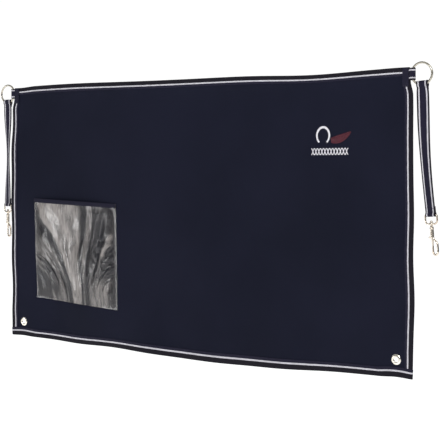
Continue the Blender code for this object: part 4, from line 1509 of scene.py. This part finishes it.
@dataclass
class Eyelet:
    """A domed eyelet through the cloth, with its washer behind."""

    finishes: Finishes
    side: Side
    bore: float = 0.006
    wall: float = 0.0006
    flange: float = 0.0122
    washer: float = 0.0008
    roll: float = 0.0018
    steps: int = 72

    def build(self) -> list[bpy.types.Object]:
        """Returns the eyelet and its washer."""
        face = CLOTH_HALF + GAP
        back = face + self.washer
        dome = face + 0.0019
        front = [(self.bore, back + GAP), (self.bore, -dome + 0.0012)]
        front += [(self.bore + 0.0012 - 0.0012 * math.cos(a), -dome + 0.0012 - 0.0012 * math.sin(a)) for a in np.linspace(0, math.pi / 2, 7)[1:]]
        crown = np.linspace(0.0, 1.0, 12)[1:]
        front += [(self.bore + 0.0012 + (self.flange - self.bore - 0.0012) * t, -face - 0.0019 * (1 - t**2.6)) for t in crown]
        rolled = [(self.bore + self.wall, -face), (self.bore + self.wall, back + GAP)]
        rolled += [
            (self.bore + self.wall + self.roll, back + GAP),
            (self.bore + self.wall + self.roll, back + GAP + self.wall * 0.6)
        ]
        rolled += [
            (self.bore + self.wall + self.roll * 0.5, back + GAP + self.wall),
            (self.bore + 0.0002, back + GAP + self.wall * 0.8)
        ]
        eyelet = lathe(
            f"eyelet_flange_{self.side.word}", [*front, *rolled], self.steps, self.finishes.eyelet_metal
        )
        inner = self.bore + self.wall + GAP
        bevel = 0.0002
        ring = [
            (inner, face), (
                self.flange - bevel, face
            ), (self.flange, face + bevel), (self.flange, back - bevel),
            (self.flange - bevel, back), (inner + bevel, back), (inner, back - bevel),
        ]
        washer = lathe(f"eyelet_back_{self.side.word}", ring, self.steps, self.finishes.eyelet_metal)
        at = middle(f"eyelet_washer_{self.side.word}")
        matrix = Matrix.Translation((at.x, 0.0, at.z)) @ Matrix.Rotation(math.radians(-90), 4, "X")
        return [place(eyelet, matrix), place(washer, matrix)]


# --------------------------------------------------------------------------------------------------
# Rings, straps and snaps
# --------------------------------------------------------------------------------------------------


@dataclass
class Ring:
    """A welded ring, round in section, slightly swollen at its weld."""

    finishes: Finishes
    side: Side
    radius: float = 0.025
    wire: float = 0.0025

    def build(self) -> bpy.types.Object:
        """Returns the ring."""
        steps = 144
        a = np.linspace(0, 2 * math.pi, steps, endpoint=False)
        path = np.stack([self.radius * np.cos(a), 0 * a, self.radius * np.sin(a)], 1)
        weld = np.exp(-(((a - math.pi * 0.5) / 0.05) ** 2)) * 0.035
        verts, faces, _ = sweep(circle(self.wire, 28), path, (0, 1, 0), closed=True, radii=1.0 + weld)
        obj = mesh_object(f"hanging_ring_{self.side.word}", verts, faces, self.finishes.nickel)
        return place(obj, Matrix.Translation(middle(f"ring_{self.side.word}")))


@dataclass
class Strap:
    """A hanging strap of striped webbing, looped round the ring above and the snap's eye below."""

    finishes: Finishes
    side: Side
    rows: ThreadRows
    ring: Ring
    length: float = 0.306
    top_tail: float = 0.021
    bottom_tail: float = 0.023
    taper: float = 0.006
    eye_wire: float = 0.002
    middle_twist: float = 0.0
    top_twist: float = 0.0
    bow: float = 0.0
    rounding: float = 0.0007

    @property
    def loop_far(self) -> float:
        """Distance from the ring's centre to the webbing inside the ring."""
        inner = self.ring.radius - self.ring.wire
        return math.sqrt(inner**2 - (WEB_WIDTH / 2) ** 2) - GAP

    def frames(self) -> tuple[Matrix, Matrix, float]:
        """The strap's and the eye's frames, and the strap's twist between them."""
        swing, eye = joint(f"strap_swing_{self.side.word}"), joint(f"eye_pivot_{self.side.word}")
        up = Vector(joint(f"snap_swivel_{self.side.word}")["axis"]).normalized()
        back = Vector((0, 1, 0))
        across = back.cross(up)
        bar = Vector(eye["axis"]).normalized()
        strap = Matrix((across, back, up)).transposed().to_4x4()
        strap.translation = Vector(swing["pos_m"])
        snap = Matrix((bar, up.cross(bar), up)).transposed().to_4x4()
        snap.translation = Vector(eye["pos_m"])
        return strap, snap, math.atan2(bar.dot(back), bar.dot(across))

    def route(self) -> tuple[np.ndarray, float, float]:
        """The webbing's middle line as (y, drop), and the drops where the loops have closed."""
        layer = (WEB_THICKNESS + GAP) / 2
        ring_half = self.ring.wire + GAP + WEB_THICKNESS / 2
        ring_bend = self.loop_far + self.ring.wire + GAP
        ring_low = self.ring.radius + GAP * 3
        bar_half = self.eye_wire + GAP + WEB_THICKNESS / 2
        top_fold = self.loop_far - WEB_THICKNESS
        bottom_fold = top_fold + self.length
        bar = bottom_fold - self.eye_wire - GAP - WEB_THICKNESS
        top_closed = ring_low + self.taper
        bottom_closed = bar - self.taper - GAP * 3
        t = np.linspace(0.0, 1.0, 9)
        ease = (1 - np.cos(math.pi * t)) / 2
        down = np.stack([-ring_half + (ring_half - layer) * ease, ring_low + self.taper * t], 1)
        tail = np.stack([np.full(5, layer), np.linspace(top_fold + self.top_tail, top_closed + 0.0008, 5)], 1)
        over = np.array([(y, ring_bend - rise) for y, rise in arc((0, 0), ring_half, 0, math.pi, 32)])
        long = np.linspace(top_closed + 0.003, bottom_closed - 0.003, 110)
        flat = np.stack([np.full(len(long), -layer), long], 1)
        narrow = np.stack([-layer - (bar_half - layer) * ease, bottom_closed + (bar - bottom_closed) * t], 1)
        under = np.array([(-y, bar + fall) for y, fall in arc((0, 0), bar_half, 0, math.pi, 24)])
        rise = narrow[::-1] * (-1, 1)
        end = np.stack(
            [np.full(5, layer), np.linspace(bottom_closed - 0.0008, bottom_fold - self.bottom_tail, 5)], 1
        )
        route = np.vstack(
            [tail, down[::-1] * (-1, 1), over[1:-1], down, flat, narrow, under[1:-1], rise, end]
        )
        return route, top_closed, bottom_closed

    def twist(self, points: np.ndarray, top: float, bottom: float, end: float) -> np.ndarray:
        """Turns points about the strap's length, more and more towards its lower end."""
        t = np.clip((-points[:, 2] - top) / (bottom - top), 0.0, 1.0)
        early = t / 0.13
        angle = end * t * t * (3 - 2 * t) + self.middle_twist * np.sin(math.pi * t) ** 2
        angle = angle + self.top_twist * early * np.exp(1.0 - early)
        c, s = np.cos(angle), np.sin(angle)
        x, y, z = points.T
        cup = 0.0010 * np.sin(math.pi * t) * ((x / (WEB_WIDTH / 2)) ** 2 - 0.4)
        y = y + cup
        return np.stack([x * c - y * s + self.bow * np.sin(math.pi * t), x * s + y * c, z], 1)

    def build(self) -> list[bpy.types.Object]:
        """Returns the strap and its stitches."""
        strap, _, end = self.frames()
        route, top, bottom = self.route()
        section, spread = web_section(self.rounding)
        path = np.stack([np.zeros(len(route)), route[:, 0], -route[:, 1]], 1)
        verts, faces, along = sweep(section, path, (1, 0, 0))
        verts = self.twist(verts, top, bottom, end)
        uv = np.stack([along, np.tile(spread, len(path))], 1)
        web = mesh_object(f"strap_webbing_{self.side.word}", verts, faces, self.finishes.webbing, uv)
        layer = (WEB_THICKNESS + GAP) / 2 + WEB_THICKNESS / 2 + 0.00008
        lines_front, lines_back = [], []
        top_tack = -(self.loop_far - WEB_THICKNESS + self.top_tail - 0.004)
        bottom_tack = -(self.loop_far - WEB_THICKNESS + self.length - self.bottom_tail + 0.004)
        half = WEB_WIDTH / 2 - 0.0022
        for z in (top_tack, top_tack + 0.0016, bottom_tack, bottom_tack - 0.0016, bottom_tack - 0.006):
            for lines, sign in ((lines_front, -1), (lines_back, 1)):
                lines.append(
                    np.stack([np.linspace(-half, half, 15), np.full(15, sign * layer), np.full(15, z)], 1)
                )
        sizes = {
            "Pitch": 0.0016, "Length": 0.0015, "Width": 0.0006, "Height": 0.00045, "Lean": 0.35, "Seed": 7
        }
        thread = self.finishes.seam_thread
        parts = [
            self.rows.lay(f"strap_rows_{self.side.word}_{i}", lines, thread, (0, sign, 0), **sizes)
            for i, (lines, sign) in enumerate(((lines_front, -1), (lines_back, 1)))
        ]
        stitches = join(f"strap_stitches_{self.side.word}", parts)
        reshape(stitches, lambda p: self.twist(p, top, bottom, end))
        return [place(web, strap), place(stitches, strap)]


@dataclass
class Snap:
    """The swivel bolt snap: strap eye with its boss, forged body with hook, sliding bolt and spring."""

    finishes: Finishes
    side: Side
    place_at: Matrix
    eye_wire: float = 0.002
    eye_side: float = 0.01675
    eye_height: float = 0.020
    boss: float = 0.005
    stem: float = 0.0023
    head: float = 0.0036
    barrel: float = 0.00425
    barrel_length: float = 0.0277
    crown: float = 0.0037
    bolt: float = 0.0024
    bolt_length: float = 0.0227
    travel: float = 0.008
    knob_depth: float = 0.005
    knob: float = 0.0026
    knob_stem: float = 0.0015
    knob_reach: float = 0.0075
    hook_wire: float = 0.0024
    hook_bend: float = 0.00675
    hook_depth: float = 0.036
    spring: float = 0.0019
    spring_wire: float = 0.00035
    turns: int = 7

    def __post_init__(self) -> None:
        """Works out the heights below the strap's bar."""
        self.boss_top = self.eye_height - self.boss
        self.boss_bottom = self.eye_height + self.boss
        self.top = self.boss_bottom + GAP
        self.end = self.top + self.barrel_length
        self.bore_top = self.top + self.crown
        self.bolt_top = self.end - self.travel
        self.bolt_end = self.bolt_top + self.bolt_length
        self.knob_z = self.bolt_top + self.knob_depth

    def combine(self, target: bpy.types.Object, operand: bpy.types.Object, operation: str) -> None:
        """Joins or cuts one mesh with another, which is used up."""
        modifier = target.modifiers.new("combine", "BOOLEAN")
        modifier.object = operand
        modifier.operation = operation
        settle(target)
        bpy.data.objects.remove(operand)

    def cast(self, obj: bpy.types.Object, voxel: float, rounds: int) -> bpy.types.Object:
        """Softens a mesh's creases as casting and plating do."""
        remesh = obj.modifiers.new("cast", "REMESH")
        remesh.mode = "VOXEL"
        remesh.voxel_size = voxel
        remesh.use_smooth_shade = True
        smooth = obj.modifiers.new("polish", "SMOOTH")
        smooth.factor = 0.5
        smooth.iterations = rounds
        return settle(obj)

    def eye(self) -> bpy.types.Object:
        """The strap eye with the boss that the swivel turns in."""
        half, top, low = self.eye_side, 0.003, 0.008
        corners = (
            ((half - top, -top), top, 0.0), ((top - half, -top), top, 0.5 * math.pi),
            ((low - half, low - self.eye_height), low, math.pi),
            ((half - low, low - self.eye_height), low, 1.5 * math.pi),
        )
        outline = []
        for centre, radius, start in corners:
            outline += arc(centre, radius, start, start + math.pi / 2, 14)
        path = np.array([(x, 0.0, z) for x, z in outline])
        verts, faces, _ = sweep(circle(self.eye_wire, 24), path, (0, 1, 0), closed=True)
        metal = self.finishes.snap_metal
        eye = mesh_object(f"snap_eye_cast_{self.side.word}", verts, faces, metal)
        shoulder = [(self.boss * math.cos(a), -self.eye_height + self.boss * math.sin(a)) for a in np.linspace(-1.12, 1.12, 15)]
        profile = [(0.0, -self.boss_bottom), *shoulder, (0.0, -self.boss_top)]
        self.combine(eye, lathe("boss", profile, 40, metal), "UNION")
        hole = self.stem + GAP
        cut = [
            (0.0, -self.boss_bottom - 0.002),
            (hole, -self.boss_bottom - 0.002),
            (hole, -self.boss_top + 0.002),
            (0.0, -self.boss_top + 0.002)
        ]
        self.combine(eye, lathe("hole", cut, 40, metal), "DIFFERENCE")
        return place(self.cast(eye, 0.00028, 3), self.place_at)

    def body(self) -> bpy.types.Object:
        """Barrel, swivel stem and hook in one forging."""
        head_bottom = self.boss_top - GAP
        head_top = head_bottom - 0.0021
        bore = self.bolt + GAP
        dome = [(self.head * math.sin(a), -head_bottom + (head_bottom - head_top) * math.cos(a)) for a in np.linspace(0.0, math.pi / 2, 9)]
        shoulder = [(self.barrel * (0.55 + 0.45 * math.sin(a)), -self.top - 0.0022 * (1 - math.cos(a))) for a in np.linspace(0, math.pi / 2, 8)]
        collar = [
            (self.barrel, -self.top - 0.004), (self.barrel + 0.0004, -self.top - 0.0046),
            (self.barrel + 0.0004, -self.top - 0.0058), (self.barrel, -self.top - 0.0064),
        ]
        profile = [
            *dome, (self.stem, -head_bottom), (self.stem, -self.top), *shoulder, *collar, (
                self.barrel, -self.end + 0.0005
            ),
            (
                self.barrel - 0.0005, -self.end
            ), (bore, -self.end), (bore, -self.bore_top), (0.0, -self.bore_top),
        ]
        metal = self.finishes.snap_metal
        body = lathe(f"snap_forging_{self.side.word}", profile, 48, metal)
        reach, bend_z = 2 * self.hook_bend, -self.end - self.hook_depth + self.hook_bend
        start = -self.end + self.hook_wire
        shank = [
            (
                self.barrel - self.hook_wire, start + 0.001
            ), (reach * 0.33, start - 0.0045), (reach * 0.72, start - 0.0085),
            (reach * 0.95, start - 0.0135), (reach, start - 0.020), (reach, bend_z),
        ]
        curve = spline(shank, 8)
        bend = np.array(
            [(x, 0.0, z) for x, z in arc((self.hook_bend, bend_z), self.hook_bend, 0, -math.pi, 36)[1:]]
        )
        rise = np.array([(0.0, 0.0, z) for z in np.linspace(bend_z, -self.bolt_end - GAP, 10)[1:]])
        path = np.vstack([curve, bend, rise])
        share = np.linspace(0.0, 1.0, len(path))
        swell = 1.0 + 0.10 * np.exp(-(((share - 0.55) / 0.18) ** 2)) - 0.10 * smoothstep(share, 0.8, 1.0)
        verts, faces, _ = sweep(circle(self.hook_wire, 28), path, (0, 1, 0), radii=swell)
        self.combine(body, mesh_object("hook", verts, faces, metal), "UNION")
        cut = [
            (0.0, -self.bolt_end + 0.001),
            (bore, -self.bolt_end + 0.001),
            (bore, -self.bore_top),
            (0.0, -self.bore_top)
        ]
        self.combine(body, lathe("bore", cut, 48, metal), "DIFFERENCE")
        width = self.knob_stem + GAP
        upper, lower = -self.knob_z + self.travel, -self.knob_z
        outline = arc((0.0, upper), width, 0.0, math.pi, 12) + arc(
            (0.0, lower), width, math.pi, 2 * math.pi, 12
        )
        slot, faces, _ = sweep(outline, np.array([(-2 * self.barrel, 0, 0), (0, 0, 0)]), (0, 1, 0))
        self.combine(body, mesh_object("slot", slot, faces, metal), "DIFFERENCE")
        return place(self.cast(body, 0.00032, 3), self.place_at)

    def sliding_bolt(self) -> bpy.types.Object:
        """The bolt with its round thumb knob."""
        lead = 0.0009
        nose = [(self.bolt - lead + lead * math.cos(a), -self.bolt_end + lead - lead * math.sin(a)) for a in np.linspace(0, math.pi / 2, 6)]
        profile = [(0.0, -self.bolt_top), (self.bolt, -self.bolt_top), *nose, (0.0, -self.bolt_end)]
        metal = self.finishes.snap_metal
        bolt = lathe(f"snap_bolt_turned_{self.side.word}", profile, 40, metal)
        ball = [(self.knob * math.sin(a), -self.knob_reach - self.knob * math.cos(a)) for a in np.linspace(0.0, 2.5, 16)]
        knob = lathe("knob", [*ball, (self.knob_stem, 0.0), (0.0, 0.0)], 32, metal)
        place(knob, Matrix.Translation((0, 0, -self.knob_z)) @ Matrix.Rotation(math.radians(90), 4, "Y"))
        self.combine(bolt, knob, "UNION")
        return place(bolt, self.place_at)

    def coil(self) -> bpy.types.Object:
        """The spring in the barrel, an even helix."""
        first = self.bore_top + GAP + self.spring_wire
        height = self.bolt_top - self.bore_top - 2 * (GAP + self.spring_wire)
        t = np.linspace(0.0, 1.0, self.turns * 32 + 1)
        angle = 2 * math.pi * self.turns * t
        path = np.stack([self.spring * np.cos(angle), self.spring * np.sin(angle), -first - height * t], 1)
        verts, faces, _ = sweep(circle(self.spring_wire, 10), path, (0, 0, 1))
        obj = mesh_object(f"bolt_spring_coil_{self.side.word}", verts, faces, self.finishes.spring_metal)
        return place(obj, self.place_at)


# --------------------------------------------------------------------------------------------------
# Studio
# --------------------------------------------------------------------------------------------------


@dataclass
class Studio:
    """Camera, pale floor and soft light."""

    azimuth: float = math.radians(34.9)
    stand: tuple[float, float, float] = (1.788, -2.427, -0.2345)
    lens: float = 96.5
    shift: float = -0.118
    floor_drop: float = 0.9

    def camera(self) -> None:
        """Sets the camera at the object's three-quarter view, level."""
        data = bpy.data.cameras.new("camera")
        data.lens = self.lens
        data.shift_y = self.shift
        data.clip_end = 60.0
        camera = bpy.data.objects.new("camera", data)
        camera.location = self.stand
        camera.rotation_euler = (math.pi / 2, 0.0, self.azimuth)
        bpy.context.collection.objects.link(camera)
        bpy.context.scene.camera = camera

    def floor(self, under: float) -> None:
        """Lays the floor below the drape."""
        s = SurfaceBuilder("pale_floor", {"Roughness": 0.9, "Specular IOR Level": 0.1})
        tone = s.ramp(s.noise(s.place(), 0.8, 2.0), 0.3, 0.7, 0.0, 1.0)
        s.set("Base Color", s.blend(tone, (0.93, 0.93, 0.93), (0.97, 0.97, 0.97)))
        s.shader.inputs["Emission Color"].default_value = (1.0, 1.0, 1.0, 1.0)
        s.shader.inputs["Emission Strength"].default_value = 0.78
        size, z = 20.0, under - self.floor_drop
        verts = np.array([(-size, -size, z), (size, -size, z), (size, size, z), (-size, size, z)])
        floor = mesh_object("floor", verts, [(0, 1, 2, 3)], s.material)

    def light(
        self, name: str, at: Sequence[float], to: Sequence[float], size: tuple[float, float], power: float
    ) -> None:
        """One soft box.

        Args:
            name: Its name.
            at: Where it stands.
            to: Where it points.
            size: Width and height.
            power: Watts.
        """
        data = bpy.data.lights.new(name, "AREA")
        data.shape = "RECTANGLE"
        data.size, data.size_y = size
        data.energy = power
        lamp = bpy.data.objects.new(name, data)
        lamp.location = at
        lamp.rotation_euler = (Vector(to) - Vector(at)).to_track_quat("-Z", "Y").to_euler()
        bpy.context.collection.objects.link(lamp)

    def sky(self) -> None:
        """White behind the drape, and a dimmer surround for what the metal and film reflect."""
        world = bpy.data.worlds.new("studio")
        world.use_nodes = True
        bpy.context.scene.world = world
        t = TreeBuilder(world.node_tree)
        t.tree.nodes.clear()
        seen = t.add("ShaderNodeLightPath").outputs["Is Camera Ray"]
        direction = t.add("ShaderNodeSeparateXYZ", {0: t.add("ShaderNodeTexCoord").outputs["Generated"]})
        level = t.ramp(direction.outputs[2], -0.3, 0.8, 0.07, 0.42)
        surround = t.add("ShaderNodeBackground", {"Strength": level, "Color": (0.96, 0.98, 1.0, 1.0)})
        white = t.add("ShaderNodeBackground", {"Strength": 1.05})
        white.inputs["Color"].default_value = (1.0, 1.0, 1.0, 1.0)
        mixed = t.add("ShaderNodeMixShader", {0: seen, 1: surround.outputs[0], 2: white.outputs[0]})
        t.add("ShaderNodeOutputWorld", {0: mixed.outputs[0]})

    def build(self, under: float) -> None:
        """Sets up everything but the object.

        Args:
            under: The drape's lowest height.
        """
        self.camera()
        self.floor(under)
        self.sky()
        self.light("key", (1.9, -2.5, 1.5), (0.15, 0.0, -0.35), (1.3, 1.1), 62.0)
        self.light("strip", (-2.25, -2.35, -0.2), (-0.38, 0.0, -0.45), (0.34, 1.7), 15.0)
        self.light("back", (0.4, 2.4, 1.6), (0.0, 0.0, -0.4), (2.0, 1.0), 22.0)
        bpy.context.scene.view_settings.view_transform = "Standard"


def main() -> None:
    """Builds the drape, piece by piece, and reports each."""
    logging.basicConfig(level=logging.INFO, format="%(message)s")
    finishes = Finishes()
    running, satin = ThreadRows(RowKind.RUNNING), ThreadRows(RowKind.SATIN)
    bottom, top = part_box("binding_bottom")[0].z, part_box("binding_top")[1].z
    eyelets = tuple((middle(f"eyelet_washer_{s.word}").x, middle(f"eyelet_washer_{s.word}").z) for s in Side)
    hang = Hang(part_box("binding_right")[1].x, top, bottom, eyelets)

    cloth = hand_over(Sheet(finishes, hang).build(), ROOT, ["panel_sheet"])
    tapes = Bindings(finishes, hang).build()
    nodes = (
        "binding_top",
        "binding_bottom",
        "binding_left",
        "binding_right",
        "corner_patch_left",
        "corner_patch_right"
    )
    for tape, node in zip(tapes, nodes):
        hand_over(tape, ROOT, [node])
    for stitches in Seams(finishes, hang, running).build():
        hand_over(stitches, ROOT)

    pocket = Pocket(finishes, hang, running)
    film = hand_over(pocket.film(), ROOT, ["pocket_window"])
    rim = hand_over(pocket.rim_tape(), ROOT, ["pocket_tape"])
    film_stitches = hand_over(pocket.stitches(), ROOT)
    threads = ("white_thread", "red_thread", "white_thread")
    replaced = ("motif_horseshoe", "motif_flash", "motif_braid")
    for piece, slot, node in zip(Motif(finishes, hang, satin).build(), threads, replaced):
        hand_over(piece, ROOT, [node])

    twists = {Side.LEFT: math.radians(-26.0), Side.RIGHT: math.radians(-3.0)}
    top_twists = {Side.LEFT: math.radians(4.0), Side.RIGHT: math.radians(27.0)}
    bows = {Side.LEFT: 0.0015, Side.RIGHT: -0.0042}
    for side in Side:
        word = side.word
        eyelet, washer = Eyelet(finishes, side).build()
        hand_over(eyelet, ROOT, [f"eyelet_{word}"])
        hand_over(washer, ROOT, [f"eyelet_washer_{word}"])
        ring = Ring(finishes, side)
        hand_over(ring.build(), f"ring_{word}", [f"ring_{word}"])
        strap = Strap(
            finishes, side, running, ring, middle_twist=twists[side], top_twist=top_twists[side], bow=bows[side]
        )
        web, stitches = strap.build()
        hand_over(web, f"strap_{word}", [f"strap_{word}"])
        hand_over(stitches, f"strap_{word}")
        ring_x = abs(middle(f"ring_{word}").x)
        tab = Tab(finishes, side, strap.loop_far, ring_x).build()
        hand_over(tab, ROOT, [f"ring_tab_{word}"])
        snap = Snap(finishes, side, strap.frames()[1])
        hand_over(snap.eye(), f"eye_{word}", [f"snap_eye_{word}"])
        hand_over(snap.body(), f"snap_{word}", [f"snap_body_{word}"])
        hand_over(snap.sliding_bolt(), f"bolt_{word}", [f"snap_bolt_{word}"])
        hand_over(snap.coil(), f"snap_{word}", [f"bolt_spring_{word}"])

    Studio().build(bottom)
    bpy.context.view_layer.update()


if __name__ == "__main__":
    main()
